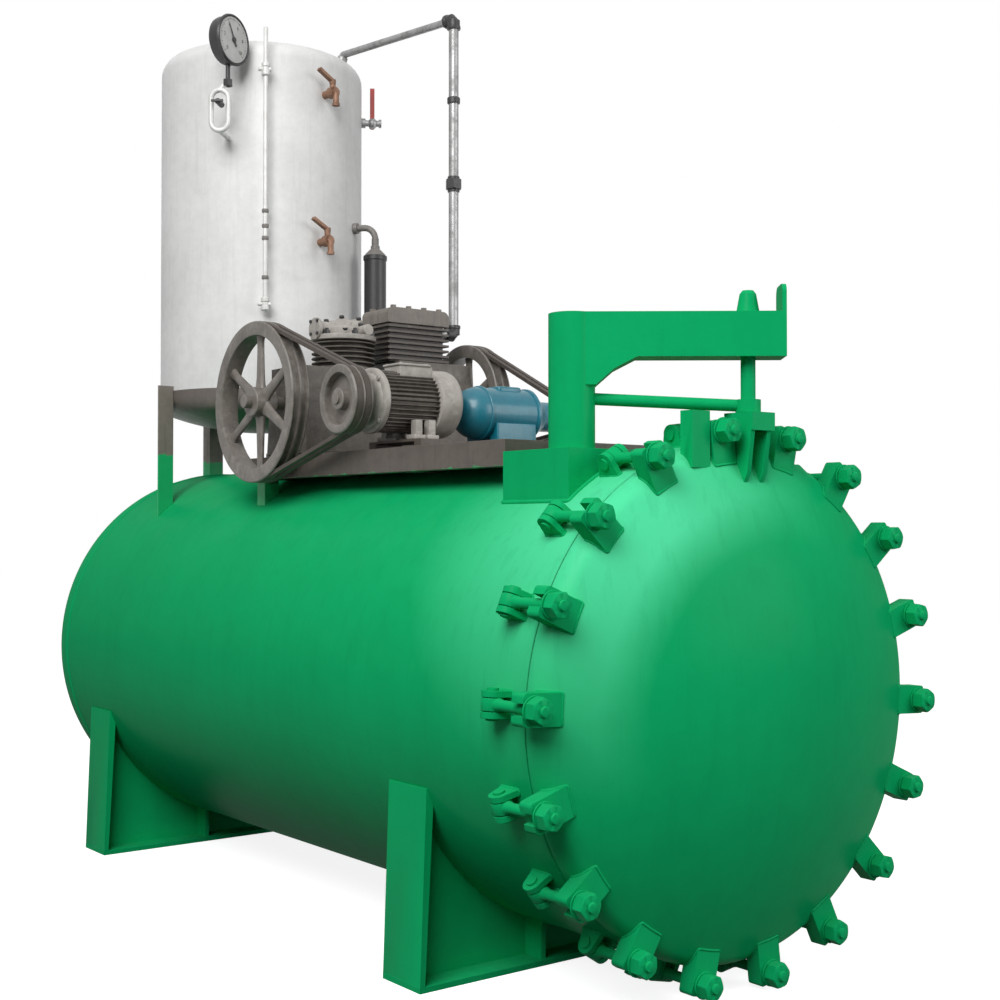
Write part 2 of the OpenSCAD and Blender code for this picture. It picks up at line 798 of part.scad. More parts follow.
// Finned barrel and round head of compressor 1
module compressor_1_cylinder() {
    z0 = crank_1_z + 110;
    barrel_h = 90;
    fin_n = 6;
    pitch = barrel_h / fin_n;
    color("gainsboro") at_seam() translate([cylinder_x[0], crank_y, z0]) {
        cylinder(h = barrel_h + 1, r = 72);
        cylinder(h = 10, r = 92);
        for (k = [1:fin_n - 1]) translate([0, 0, k * pitch + 4]) cylinder(h = 5, r = 98);
        translate([0, 0, barrel_h]) {
            cylinder(h = 22, r = 100);
            for (k = [0:7]) rotate([0, 0, 22.5 + k * 45]) translate([84, 0, 21]) hex(19, 13);
            rotate_extrude() difference() {
                union() {
                    square([66, 60]);
                    translate([0, 60]) square([50, 16]);
                    intersection() {
                        translate([50, 60]) circle(16);
                        translate([50, 60]) square([17, 17]);
                    }
                }
                translate([58, 34]) square([10, 6]);
                translate([58, 48]) square([10, 6]);
            }
            bar_x(-98, 0, 0, 38, 24);
            bar_x(-104, -92, 0, 38, 34);
            bar_y(-92, 0, 34, 40, 17);
        }
    }
}

// Finned block and cover of compressor 2
module compressor_2_cylinder() {
    w = cylinder_2_w;
    d = 150;
    z0 = crank_2_z + 110;
    fin_n = 7;
    fin_pitch = 17;
    high = fin_n * fin_pitch;
    color("dimgray") at_seam() translate([cylinder_x[1], crank_y, z0]) {
        box([-w / 2 + 14, -d / 2 + 14, 0], [w / 2 - 14, d / 2 - 14, high + 1]);
        for (k = [0:fin_n - 1])
            box([-w / 2, -d / 2, k * fin_pitch + 4], [w / 2, d / 2, k * fin_pitch + 11]);
        translate([0, d / 2, high]) rotate([90, 0, 0]) linear_extrude(d) {
            translate([-w / 2, 0]) square([w, 26]);
            translate([-w / 2 + 22, 0]) square([w - 44, 48]);
            for (x = [-1, 1] * (w / 2 - 22)) translate([x, 26]) circle(22);
        }
        for (x = [-3, -1, 1, 3] * w / 8, y = [-1, 1] * (d / 2 - 16))
            translate([x, y, high + 46]) hex(17, 10);
        bar_x(w / 2 - 2, w / 2 + 12, 0, delivery_z - z0, 24);
        bar_x(w / 2 - 2, w / 2 + 12, suction_dy, suction_z - z0, 22);
    }
}

// End view of a ribbed motor body
module ribbed(r, rib_h, n) {
    circle(r - rib_h);
    for (k = [0:n - 1]) rotate(k * 360 / n) translate([0, -1.6]) square([r, 3.2]);
}

module motor_1() {
    r = motor_1_d / 2;
    x0 = motor_1_x[0];
    x1 = motor_1_x[1];
    color("gray") at_seam() translate([0, motor_y, motor_1_z]) difference() {
        union() {
            translate([x0 + 50, 0, 0]) rotate([90, 0, 90]) linear_extrude(x1 - x0 - 125) ribbed(r, 11, 36);
            bar_x(x0 + 34, x0 + 52, 0, 0, r + 4);
            bar_x(x0 + 14, x0 + 35, 0, 0, r - 14);
            bar_x(x0, x0 + 15, 0, 0, 42);
            bar_x(x1 - 80, x1 - 72, 0, 0, r + 6);
            bar_x(x1 - 73, x1 - 14, 0, 0, r + 9);
            bar_x(x1 - 15, x1, 0, 0, r - 8);
            for (x = [x0 + 74, x1 - 130], y = [-1, 1] * (r - 12))
                box([x, y - 22, base_h - motor_1_h], [x + 38, y + 22, -r * 0.45]);
            box([x0 + 61, -41, r - 16], [x1 - 76, 41, r + 14]);
            box([x0 + 57, -45, r + 13], [x1 - 82, 45, r + 20]);
        }
        bar_x(x0 - 1, x0 + 24, 0, 0, 14 + shaft_clear);
    }
}

module motor_1_base() {
    x0 = motor_1_x[0];
    x1 = motor_1_x[1];
    color("dimgray") at_seam()
        for (x = [x0 + 74, x1 - 130])
            difference() {
                box([x - 4, motor_y - 130, frame_z1], [x + 42, motor_y + 130, frame_z1 + base_h]);
                box([x - 5, motor_y - 96, frame_z1 - 1], [x + 43, motor_y + 96, frame_z1 + base_h - 8]);
            }
}

module motor_2() {
    r = motor_2_d / 2;
    x0 = motor_2_x[0];
    x1 = motor_2_x[1];
    color("teal") at_seam() translate([0, motor_y, motor_2_z]) difference() {
        union() {
            intersection() {
                translate([x0 + 64, 0, 0]) sphere(r = r);
                bar_x(x0 - 20, x0 + 65, 0, 0, r);
            }
            bar_x(x0 + 64, x1 - 92, 0, 0, r);
            bar_x(x0 + 60, x0 + 68, 0, 0, r + 4);
            bar_x(x1 - 104, x1 - 92, 0, 0, r + 4);
            translate([x1 - 92, 0, 0]) rotate([0, 90, 0]) cylinder(h = 42, r1 = r - 6, r2 = 44);
            bar_x(x1 - 51, x1, 0, 0, 44);
            for (y = [-1, 1] * (r - 20))
                box([x0 + 84, y - 20, -motor_2_h], [x1 - 110, y + 20, -r * 0.4]);
            box([x0 + 76, -r - 12, -motor_2_h], [x1 - 102, r + 12, -motor_2_h + 14]);
            box([x0 + 96, -34, r - 12], [x1 - 120, 34, r + 20]);
        }
        bar_x(x1 - 24, x1 + 1, 0, 0, 12 + shaft_clear);
    }
}

// Moves to the tank's axis
module at_tank() {
    translate([0, tank_y, 0]) children();
}

// Point standing out by d from the tank's wall, turned from the front toward +X; local Y points at the wall
module on_tank(turn, z, d = 0) {
    at_tank() rotate([0, 0, turn]) translate([0, -tank_r - d, z]) children();
}

module tank_shell() {
    color("white") at_seam() at_tank() difference() {
        bar_z(tank_z0, tank_z1, 0, 0, tank_r, $fn = 96);
        bar_z(tank_z0 - 1, tank_z1 + 1, 0, 0, tank_r - tank_t, $fn = 96);
    }
}

module tank_top_head() {
    color("white") at_seam() at_tank() translate([0, 0, tank_z1])
        dish(tank_r, tank_t, tank_crown_r, tank_knuckle_r, 20);
}

module tank_bottom_head() {
    color("dimgray") at_seam() at_tank() translate([0, 0, tank_z0]) mirror([0, 0, 1])
        dish(tank_r, tank_t, tank_crown_r, tank_knuckle_r, 20);
}

module tank_legs() {
    color("dimgray") at_seam() difference() {
        at_tank() for (turn = [0, 90, 180, 270])
            rotate([0, 0, turn]) {
                box([tank_r, -leg_w / 2, axis_z + vessel_r * 0.6], [tank_r + leg_t, leg_w / 2, tank_z0 + leg_lap]);
                box(
                    [tank_r, leg_w / 2 - leg_t, axis_z + vessel_r * 0.6],
                    [tank_r + leg_w, leg_w / 2, tank_z0 + leg_lap]
                );
            }
        on_axis() cylinder(h = shell_len, r = vessel_r, $fn = 96);
        translate([0, shell_len - 0.01, 0]) on_axis() dish_solid(vessel_r, rear_crown_r, knuckle_r, skirt_l);
    }
}

// Sight tube between two angle cocks, reaching above the tank's shoulder
module sight_tube() {
    out = 34;
    low = tank_z0 + sight_low;
    high = tank_z1 - 40;
    color("silver") at_seam() on_tank(-27, 0, out) {
        bar_z(low, tank_z1 + sight_over, 0, 0, 9);
        for (z = [low + 12, high]) {
            bar_y(0, out, 0, z, 9);
            bar_z(z - 22, z + 22, 0, 0, 15);
            bar_x(-26, 26, 0, z, 8);
        }
        bar_z(low + 90, low + 112, 0, 0, 17);
    }
}

// Half of a ring in the XZ plane: up is 1 for the upper half
module half_ring(r, tube, up) {
    intersection() {
        rotate([90, 0, 0]) rotate_extrude() translate([r, 0]) circle(tube, $fn = 24);
        translate([-r - tube - 1, -tube - 1, up > 0 ? 0 : -r - tube - 1])
            cube([2 * (r + tube + 1), 2 * tube + 2, r + tube + 1]);
    }
}

module pressure_gauge() {
    out = 96;
    loop_r = 33;
    tube = 8;
    loop_z = [tank_z1 - 215, tank_z1 - 145];
    gauge_z = tank_z1 + 32;
    gauge_r = 87;
    color("black") at_seam() on_tank(-43, 0, out) {
        translate([0, 0, loop_z[1]]) half_ring(loop_r, tube, 1);
        translate([0, 0, loop_z[0]]) half_ring(loop_r, tube, -1);
        for (x = [-1, 1] * loop_r) bar_z(loop_z[0] - 3, loop_z[1] + 3, x, 0, tube + 1.4);
        bar_y(0, out, 0, loop_z[0] - loop_r, tube + 1.4);
        bar_y(-26, 22, 0, loop_z[1] - 14, 10);
        bar_x(-loop_r, loop_r, 0, loop_z[1] - 14, 6);
        bar_z(loop_z[1] + loop_r - 4, gauge_z - gauge_r + 6, 0, 0, tube + 1.4);
        bar_z(loop_z[1] + loop_r + 14, loop_z[1] + loop_r + 32, 0, 0, 14);
        translate([0, 0, gauge_z]) rotate([0, 0, 68]) {
            bar_y(-20, 24, 0, 0, gauge_r - 6);
            difference() {
                bar_y(-26, 18, 0, 0, gauge_r);
                bar_y(-27, -18, 0, 0, gauge_r - 12);
            }
            bar_y(-24, -18, 0, 0, 7);
            translate([0, -21, 0]) rotate([0, 40, 0]) box([-3, -1.5, -16], [3, 1.5, gauge_r - 24]);
        }
    }
}

// Tap with a horizontal body, a spout and a bonnet for its lever
module tap() {
    bar_y(0, 64, 0, 0, 13);
    bar_y(8, 34, 0, 0, 19);
    bar_z(-44, 0, 0, 4, 10);
    translate([0, 4, -48]) cylinder(h = 8, r = 13);
    bar_z(0, lever_lift - 0.3, 0, lever_y, 10);
}

// Lever of a tap, turning on the bonnet
module tap_lever() {
    bar_z(lever_lift, lever_lift + 14, 0, lever_y, 11);
    translate([0, lever_y, lever_lift + 8]) rotate([0, -62, 0]) box([-5, -9, 4], [5, 9, lever_l]);
}

module tank_cocks() {
    color("peru") at_seam()
        for (cock = [0, 1]) on_tank(cock_turn[cock], tank_z1 - cock_drop[cock], cock_out) tap();
}

module cock_lever_1() {
    color("peru") at_seam() on_tank(cock_turn[0], tank_z1 - cock_drop[0], cock_out) tap_lever();
}

module cock_lever_2() {
    color("peru") at_seam() on_tank(cock_turn[1], tank_z1 - cock_drop[1], cock_out) tap_lever();
}

module lever_valve() {
    color("silver") at_seam() on_tank(valve_turn, tank_z1 - valve_drop, valve_out) {
        bar_y(0, valve_out, 0, 0, 11);
        bar_y(valve_out - 14, valve_out, 0, 0, 17);
        translate([0, 22, 0]) sphere(r = 18);
        bar_y(-9, 0, 0, 0, 15);
        bar_x(0, 29.7, 22, 0, 8);
    }
}

module valve_lever() {
    color("firebrick") at_seam() on_tank(valve_turn, tank_z1 - valve_drop, valve_out) {
        bar_x(30, 40, 22, 0, 12);
        box([31, 14, 4], [37, 30, 136]);
    }
}

// Oil and water separator hung from a bend off the tank
module air_separator() {
    r = 38;
    pipe = 11;
    bend = 42;
    z0 = separator_z[0];
    z1 = separator_z[1];
    reach = norm([separator[0], tank_y - separator[1]]) - tank_r;
    turn = atan2(separator[0], tank_y - separator[1]);
    color("dimgray") at_seam() {
        translate([separator[0], separator[1], 0]) {
            bar_z(z0, z1, 0, 0, r);
            translate([0, 0, z1 - 0.1]) cylinder(h = 20, r1 = r, r2 = pipe + 6);
            bar_z(z1 + 10, z1 + 34, 0, 0, pipe + 4);
            bar_z(z1 + 10, z1 + 63, 0, 0, pipe + 1.5);
            translate([0, 0, z0 - 19.9]) cylinder(h = 20, r1 = pipe + 6, r2 = r);
            bar_z(suction_z, z0, 0, 0, pipe);
            translate([0, 0, suction_z]) sphere(r = pipe + 6);
        }
        on_tank(turn, z1 + 60 + bend, reach) {
            translate([0, bend, -bend]) rotate([90, 0, 90])
                rotate([0, 0, 90]) rotate_extrude(angle = 90) translate([bend, 0]) circle(pipe);
            bar_y(bend - 3, reach, 0, 0, pipe + 1.5);
            bar_y(reach - 16, reach, 0, 0, pipe + 8);
        }
        bar_y(crank_y + suction_dy, separator[1], separator[0], suction_z, pipe);
        translate([separator[0], crank_y + suction_dy, suction_z]) sphere(r = pipe + 6);
        bar_x(cylinder_x[1] + cylinder_2_w / 2 + 12, separator[0], crank_y + suction_dy, suction_z, pipe);
    }
}

// Delivery pipe: out of compressor 2, up, across and down into the tank's top
module delivery_pipe() {
    pipe = 16;
    run_pipe = 12;
    fit = 21;
    across = delivery_top_z;
    crown_z = tank_z1 + 20 + dish_h(tank_r, tank_crown_r, tank_knuckle_r) - tank_crown_r;
    boss_d = tank_crown_r + 12;
    landing = [
        boss_d * sin(landing_lean) * cos(landing_turn),
        tank_y + boss_d * sin(landing_lean) * sin(landing_turn)
    ];
    run = landing - [delivery_x, crank_y];
    color("silver") at_seam() {
        bar_x(cylinder_x[1] + cylinder_2_w / 2 + 12, delivery_x, crank_y, delivery_z, pipe);
        bar_z(delivery_z, across, delivery_x, crank_y, pipe);
        for (z = [delivery_z, across]) translate([delivery_x, crank_y, z]) sphere(r = fit + 2);
        bar_z(delivery_z, delivery_z + 30, delivery_x, crank_y, fit);
        bar_z(across - 30, across, delivery_x, crank_y, fit);
        translate([delivery_x, crank_y, (delivery_z + across) / 2 - 40]) hex(48, 34);
        bar_z(across - collar_drop, across - collar_drop + 20, delivery_x, crank_y, fit);
        translate([delivery_x, crank_y, across]) rotate([0, 0, atan2(run[1], run[0])]) {
            bar_x(0, norm(run), 0, 0, run_pipe);
            bar_x(0, 34, 0, 0, fit - 2);
        }
        translate([landing[0], landing[1], across]) sphere(r = run_pipe + 5);
        bar_z(crown_z + boss_d * cos(landing_lean), across, landing[0], landing[1], run_pipe - 1);
        at_tank() translate([0, 0, crown_z]) rotate([0, 0, landing_turn]) rotate([0, landing_lean, 0])
            bar_z(tank_crown_r + 0.2, boss_d + 4, 0, 0, run_pipe + 6);
    }
}

vessel_shell();
rear_head();
door_gasket();
front_saddle();
rear_saddle();
hinge_lugs();
hinge_pins();
davit_pedestal();
machine_frame();
compressor_1_crankcase();
compressor_1_cylinder();
motor_1();
motor_1_base();
belts_1();
compressor_2_crankcase();
compressor_2_cylinder();
motor_2();
belts_2();
tank_shell();
tank_top_head();
tank_bottom_head();
tank_legs();
sight_tube();
pressure_gauge();
tank_cocks();
cock_lever_1();
cock_lever_2();
lever_valve();
valve_lever();
air_separator();
delivery_pipe();
davit_column();
davit_arm();
davit_stay();
door_dish();
door_forks();
door_hanger();
hanging_rod();
flywheel_1();
motor_pulley_1();
flywheel_2();
motor_pulley_2();
swing_bolt(0);  // swing_bolt_01
swing_bolt(1);  // swing_bolt_02
swing_bolt(2);  // swing_bolt_03
swing_bolt(3);  // swing_bolt_04
swing_bolt(4);  // swing_bolt_05
swing_bolt(5);  // swing_bolt_06
swing_bolt(6);  // swing_bolt_07
swing_bolt(7);  // swing_bolt_08
swing_bolt(8);  // swing_bolt_09
swing_bolt(9);  // swing_bolt_10
swing_bolt(10);  // swing_bolt_11
swing_bolt(11);  // swing_bolt_12
swing_bolt(12);  // swing_bolt_13
swing_bolt(13);  // swing_bolt_14
swing_bolt(14);  // swing_bolt_15
swing_bolt(15);  // swing_bolt_16
swing_bolt(16);  // swing_bolt_17
swing_bolt(17);  // swing_bolt_18
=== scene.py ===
"""Dresses a wood treatment pressure vessel: plate, swing bolts, welds, wheels, motors, dial and a studio."""
import json
import math

import bmesh
import bpy
import numpy as np
from bpy.props import FloatProperty, FloatVectorProperty, IntProperty, PointerProperty
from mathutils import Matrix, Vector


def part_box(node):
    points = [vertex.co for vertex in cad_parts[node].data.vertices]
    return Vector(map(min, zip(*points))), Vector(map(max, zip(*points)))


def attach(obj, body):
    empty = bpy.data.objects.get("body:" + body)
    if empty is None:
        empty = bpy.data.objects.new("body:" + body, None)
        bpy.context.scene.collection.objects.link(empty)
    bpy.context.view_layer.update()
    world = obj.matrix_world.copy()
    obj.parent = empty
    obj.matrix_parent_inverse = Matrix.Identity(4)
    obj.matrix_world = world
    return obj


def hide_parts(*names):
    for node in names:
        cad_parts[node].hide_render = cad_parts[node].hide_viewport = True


bl_info = {
    "name": "Pressure vessel finish",
    "version": (1, 1, 0),
    "blender": (4, 5, 0),
    "location": "View3D > Sidebar > Vessel",
    "description": "Paints and details a wood treatment pressure vessel with its compressors and air tank",
    "category": "Object",
}

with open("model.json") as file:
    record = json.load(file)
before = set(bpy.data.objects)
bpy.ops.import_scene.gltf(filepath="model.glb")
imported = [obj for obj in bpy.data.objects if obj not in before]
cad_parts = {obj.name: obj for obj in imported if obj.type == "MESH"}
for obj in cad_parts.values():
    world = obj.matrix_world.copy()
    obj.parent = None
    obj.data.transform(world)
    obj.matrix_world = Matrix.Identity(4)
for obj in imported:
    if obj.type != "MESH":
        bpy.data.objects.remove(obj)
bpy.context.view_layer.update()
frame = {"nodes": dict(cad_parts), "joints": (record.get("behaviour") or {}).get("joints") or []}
NODES = frame["nodes"]
JOINTS = {joint["child"]: joint for joint in frame["joints"]}
ORIGIN, UPRIGHT = np.zeros(3), np.eye(3)
X, Y, Z = UPRIGHT


def corners(node):
    """Lowest and highest corners of a solid as arrays."""
    return tuple(np.array(corner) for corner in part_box(node))


def pivot(body):
    """Point that a moving body turns round."""
    return np.array(JOINTS[body]["pos_m"])


SHELL_LOW, SHELL_HIGH = corners("vessel_shell")
TANK_LOW, TANK_HIGH = corners("tank_shell")
VESSEL_R = SHELL_HIGH[0]
TANK_R = TANK_HIGH[0]
AXIS = np.array([0.0, 0.0, (SHELL_LOW[2] + SHELL_HIGH[2]) / 2])
TANK = np.array([0.0, (TANK_LOW[1] + TANK_HIGH[1]) / 2, 0.0])
# Half of the gap between shell and door, and the place of the gap's middle along the vessel
HALF_GAP = 0.003
SEAM = SHELL_LOW[1] - HALF_GAP
# Plate of vessel and tank, the two rings of the closure, and the door plate's bore where its ring ends
PLATE, TANK_PLATE = 0.012, 0.006
RING_DEPTH, RING_LENGTH, DOOR_RING_LENGTH = 0.04, 0.036, 0.018
DOOR_BORE = 0.5849
DOOR = {"radius": VESSEL_R, "crown": 1.2, "knuckle": 0.055, "skirt": 0.002}
REAR = {"radius": VESSEL_R, "crown": 0.96, "knuckle": 0.13, "skirt": 0.03}
TANK_END = {"radius": TANK_R, "crown": 0.95, "knuckle": 0.06, "skirt": 0.02}
VESSEL_STEPS, TANK_STEPS = 256, 192
BOLTS = sorted(name for name in NODES if name.startswith("swing_bolt"))
MOTOR_Y = pivot("motor_pulley_1")[1]
# Heights at which the frame, the tank's legs and compressor 2's cover change colour
FRAME_LINE = 1.213
FOOT_LINE = 1.318
COVER_LINE = corners("compressor_2_cylinder")[1][2] - 0.058
# Middle of the painted highlight at the closure, and the middle of the door, which the painted highlight
# leaves out
PAINTED_HIGHLIGHT_SPOT = (-0.36, -0.52, 1.08)
DOOR_CROWN = (0.03, -0.62, 0.63)


# Meshes


def quads(rows, columns, wrap_rows=False, wrap_columns=False):
    """Quad corners of a grid of points, row by row, with either direction closed on itself."""
    i = np.arange(rows if wrap_rows else rows - 1)
    j = np.arange(columns if wrap_columns else columns - 1)
    i, j = np.meshgrid(i, j, indexing="ij")
    k, m = (i + 1) % rows, (j + 1) % columns
    return np.stack([i * columns + j, k * columns + j, k * columns + m, i * columns + m], -1).reshape(-1, 4)


def join(*parts):
    """Several (points, faces) pairs as one pair; faces all have the same number of corners."""
    points, faces, start = [], [], 0
    for part_points, part_faces in parts:
        part_points = np.asarray(part_points).reshape(-1, 3)
        points.append(part_points)
        faces.append(part_faces + start)
        start += len(part_points)
    return np.concatenate(points), np.concatenate(faces)


def moved(surface, turn, shift):
    """Surface carried into place: point @ turn + shift, where turn's rows are the new axes."""
    points, faces = surface
    return points @ np.asarray(turn, float) + np.asarray(shift, float), faces


def close_up(mesh, distance):
    """Merges the points that lie within a distance of each other and turns the faces outwards."""
    shape = bmesh.new()
    shape.from_mesh(mesh)
    bmesh.ops.remove_doubles(shape, verts=shape.verts, dist=distance)
    bmesh.ops.recalc_face_normals(shape, faces=shape.faces)
    shape.to_mesh(mesh)
    shape.free()


def place(name, surface, material, body, replaces=(), smooth=40):
    """Puts (points, faces) into a mesh, closes its seams, turns its faces outwards and seats it on a body."""
    points, faces = surface
    mesh = bpy.data.meshes.new(name)
    mesh.vertices.add(len(points))
    mesh.vertices.foreach_set("co", np.asarray(points, np.float32).ravel())
    mesh.loops.add(faces.size)
    mesh.loops.foreach_set("vertex_index", faces.ravel().astype(np.int32))
    mesh.polygons.add(len(faces))
    mesh.polygons.foreach_set("loop_start", np.arange(0, faces.size, faces.shape[1], dtype=np.int32))
    mesh.update(calc_edges=True)
    close_up(mesh, 2e-6)
    mesh.polygons.foreach_set("use_smooth", np.ones(len(mesh.polygons), bool))
    mesh.set_sharp_from_angle(angle=math.radians(smooth))
    return seat(name, mesh, material, body, replaces)


def seat(name, mesh, material, body, replaces=()):
    """Makes an object of a mesh, with its material and body, and hides the solids that it stands for."""
    mesh.materials.clear()
    mesh.materials.append(bpy.data.materials[material])
    piece = bpy.data.objects.new(name, mesh)
    bpy.context.scene.collection.objects.link(piece)
    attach(piece, body)
    if replaces:
        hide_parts(*replaces)
    return piece


def soften(name, node, material, width=0.002):
    """Copy of a plate solid with its triangles merged into flat faces and every sharp edge rounded."""
    mesh = NODES[node].data.copy()
    mesh.name = name
    shape = bmesh.new()
    shape.from_mesh(mesh)
    bmesh.ops.remove_doubles(shape, verts=shape.verts, dist=1e-6)
    bmesh.ops.dissolve_limit(
        shape, angle_limit=math.radians(0.5), use_dissolve_boundaries=False, verts=shape.verts,
        edges=shape.edges)
    shape.to_mesh(mesh)
    shape.free()
    mesh.polygons.foreach_set("use_smooth", np.ones(len(mesh.polygons), bool))
    mesh.set_sharp_from_angle(angle=math.radians(35))
    piece = seat(name, mesh, material, "vessel", (node,))
    edges = piece.modifiers.new("rounded edges", "BEVEL")
    edges.width, edges.segments, edges.limit_method = width, 2, "ANGLE"
    edges.angle_limit = math.radians(38)
    edges.harden_normals = True
    return piece


def dress(name, surface, material, node, smooth=40):
    """Seats a surface on the vessel in place of one of its solids."""
    return place(name, surface, material, "vessel", (node,), smooth)


def frame_of(axis):
    """Unit vector along an axis, and two more that are square to it and to each other."""
    axis = np.asarray(axis, float) / np.linalg.norm(axis)
    side = np.cross(axis, Z if abs(axis[2]) < 0.9 else X)
    side /= np.linalg.norm(side)
    return axis, side, np.cross(axis, side)


def revolve(profile, origin, axis, steps=96, closed=False):
    """Surface of revolution: origin + along * axis + radius * (cos t, sin t) across the axis."""
    axis, side, up = frame_of(axis)
    profile = np.asarray(profile, float)
    t = np.linspace(0, 2 * np.pi, steps, endpoint=False)
    ring = np.cos(t)[:, None] * side + np.sin(t)[:, None] * up
    points = origin + profile[:, None, 1:2] * axis + profile[:, None, 0:1] * ring
    return points.reshape(-1, 3), quads(len(profile), steps, wrap_rows=closed, wrap_columns=True)


def capped(rings):
    """Closed skin over a stack of rings of points, with a pole at the middle of the first and last ring."""
    rings = np.asarray(rings, float)
    first = np.repeat(rings[:1].mean(1, keepdims=True), rings.shape[1], 1)
    last = np.repeat(rings[-1:].mean(1, keepdims=True), rings.shape[1], 1)
    points = np.concatenate([first, rings, last])
    return points.reshape(-1, 3), quads(len(points), rings.shape[1], wrap_columns=True)


def rings_along(path, radius, sides=16, closed=False, flat=1.0, lead=None):
    """Ellipses square to a path: path + radius * (cos t * side + flat * sin t * up)."""
    path = np.asarray(path, float)
    radius = np.broadcast_to(np.asarray(radius, float), len(path))
    run = (np.roll(path, -1, 0) - np.roll(path, 1, 0)) if closed else np.gradient(path, axis=0)
    run /= np.linalg.norm(run, axis=1, keepdims=True)
    if lead is None:
        lead = np.where(np.abs(run @ Z)[:, None] < 0.95, Z, X)
    side = np.cross(run, lead)
    side /= np.linalg.norm(side, axis=1, keepdims=True)
    up = np.cross(side, run)
    t = np.linspace(0, 2 * np.pi, sides, endpoint=False)
    return path[:, None] + radius[:, None, None] * (
        np.cos(t)[None, :, None] * side[:, None] + flat * np.sin(t)[None, :, None] * up[:, None])


def rod(path, radius, sides=16, flat=1.0, lead=None):
    """Tube along an open path with both ends closed."""
    return capped(rings_along(path, radius, sides, False, flat, lead))


def hoop(path, radius, sides=16, lead=None):
    """Tube along a closed path."""
    rings = rings_along(path, radius, sides, True, 1.0, lead)
    return rings.reshape(-1, 3), quads(len(rings), sides, wrap_rows=True, wrap_columns=True)


def bead(path, radius, pitch=0.006, sides=8):
    """Weld bead: a thin hoop along a path, of radius * (1 + 0.12 * |sin(pi * run / pitch)|)."""
    path = np.asarray(path, float)
    step = np.linalg.norm(np.roll(path, -1, 0) - path, axis=1)
    run = np.concatenate([[0], np.cumsum(step[:-1])])
    return hoop(path, radius * (1 + 0.12 * np.abs(np.sin(np.pi * run / pitch))), sides)


def circle(centre, axis, radius, steps):
    """Points on a circle round an axis."""
    axis, side, up = frame_of(axis)
    t = np.linspace(0, 2 * np.pi, steps, endpoint=False)[:, None]
    return centre + radius * (np.cos(t) * side + np.sin(t) * up)


def resample(path, step, closed=False):
    """Points at an even distance along a line of straight pieces."""
    path = np.asarray(path, float)
    if closed:
        path = np.concatenate([path, path[:1]])
    run = np.concatenate([[0], np.cumsum(np.linalg.norm(np.diff(path, axis=0), axis=1))])
    count = max(int(run[-1] / step), 2)
    at = np.linspace(0, run[-1], count, endpoint=not closed)
    return np.stack([np.interp(at, run, path[:, k]) for k in range(path.shape[1])], -1)


def rounded(outline, radius, steps=5, closed=True):
    """Outline with each corner replaced by a quadratic curve that starts a radius away from it."""
    outline = np.asarray(outline, float)
    radius = np.broadcast_to(np.asarray(radius, float), len(outline))[:, None]
    before, after = np.roll(outline, 1, 0) - outline, np.roll(outline, -1, 0) - outline
    reach = np.linalg.norm(before, axis=1, keepdims=True), np.linalg.norm(after, axis=1, keepdims=True)
    start = outline + before / reach[0] * np.minimum(radius, reach[0] * 0.49)
    end = outline + after / reach[1] * np.minimum(radius, reach[1] * 0.49)
    t = np.linspace(0, 1, steps)[None, :, None]
    curve = (1 - t) ** 2 * start[:, None] + 2 * t * (1 - t) * outline[:, None] + t**2 * end[:, None]
    if closed:
        return curve.reshape(-1, outline.shape[1])
    inner = curve[1:-1].reshape(-1, outline.shape[1])
    return np.concatenate([outline[:1], inner, outline[-1:]])


def inset(outline, amount):
    """Outline drawn in by an amount, each point moved along the mean of its two edges' normals."""
    outline = np.asarray(outline, float)
    edge = np.roll(outline, -1, 0) - np.roll(outline, 1, 0)
    normal = np.stack([edge[:, 1], -edge[:, 0]], -1)
    normal /= np.linalg.norm(normal, axis=1, keepdims=True)
    middle = outline.mean(0)
    sign = np.sign(((outline - middle) * normal).sum(1).mean())
    return outline - sign * amount * normal


def block(outline, origin, u, v, depth, bevel=0.002):
    """Plate of an outline in the (u, v) plane, carried along u x v, with quarter-round edges."""
    u, v = np.asarray(u, float), np.asarray(v, float)
    n = np.cross(u, v)
    turn = np.linspace(0, np.pi / 2, 4)
    low = [(bevel * (1 - np.sin(a)), bevel * (1 - np.cos(a))) for a in turn]
    high = [(draw, depth - lift) for draw, lift in low[::-1]]
    rows = [
        origin + inset(outline, draw) @ np.stack([u, v]) + lift * n for draw, lift in low + high]
    return capped(rows)


def brick(low, high, corner=0.004, bevel=0.002):
    """Box between two corners with rounded upright corners and rounded top and bottom edges."""
    low, high = np.asarray(low, float), np.asarray(high, float)
    outline = rounded([low[:2], [high[0], low[1]], high[:2], [low[0], high[1]]], corner)
    return block(outline, np.array([0, 0, low[2]]), X, Y, high[2] - low[2], bevel)


def lathe_bar(radius, start, end, cut=0.0015, drop=None):
    """Profile of a bar as (radius, along); its chamfers are cut across and drop along."""
    drop = cut if drop is None else drop
    return [(0, start), (radius - cut, start), (radius, start + drop),
            (radius, end - drop), (radius - cut, end), (0, end)]


def drum(radius, start, end):
    """Profile of a solid bar with square ends."""
    return [(0, start), (radius, start), (radius, end), (0, end)]


def mirrored(side):
    """Profile from one end to its middle, followed by its mirror image out to the other end."""
    return [*side, *((radius, -along) for radius, along in side[::-1])]


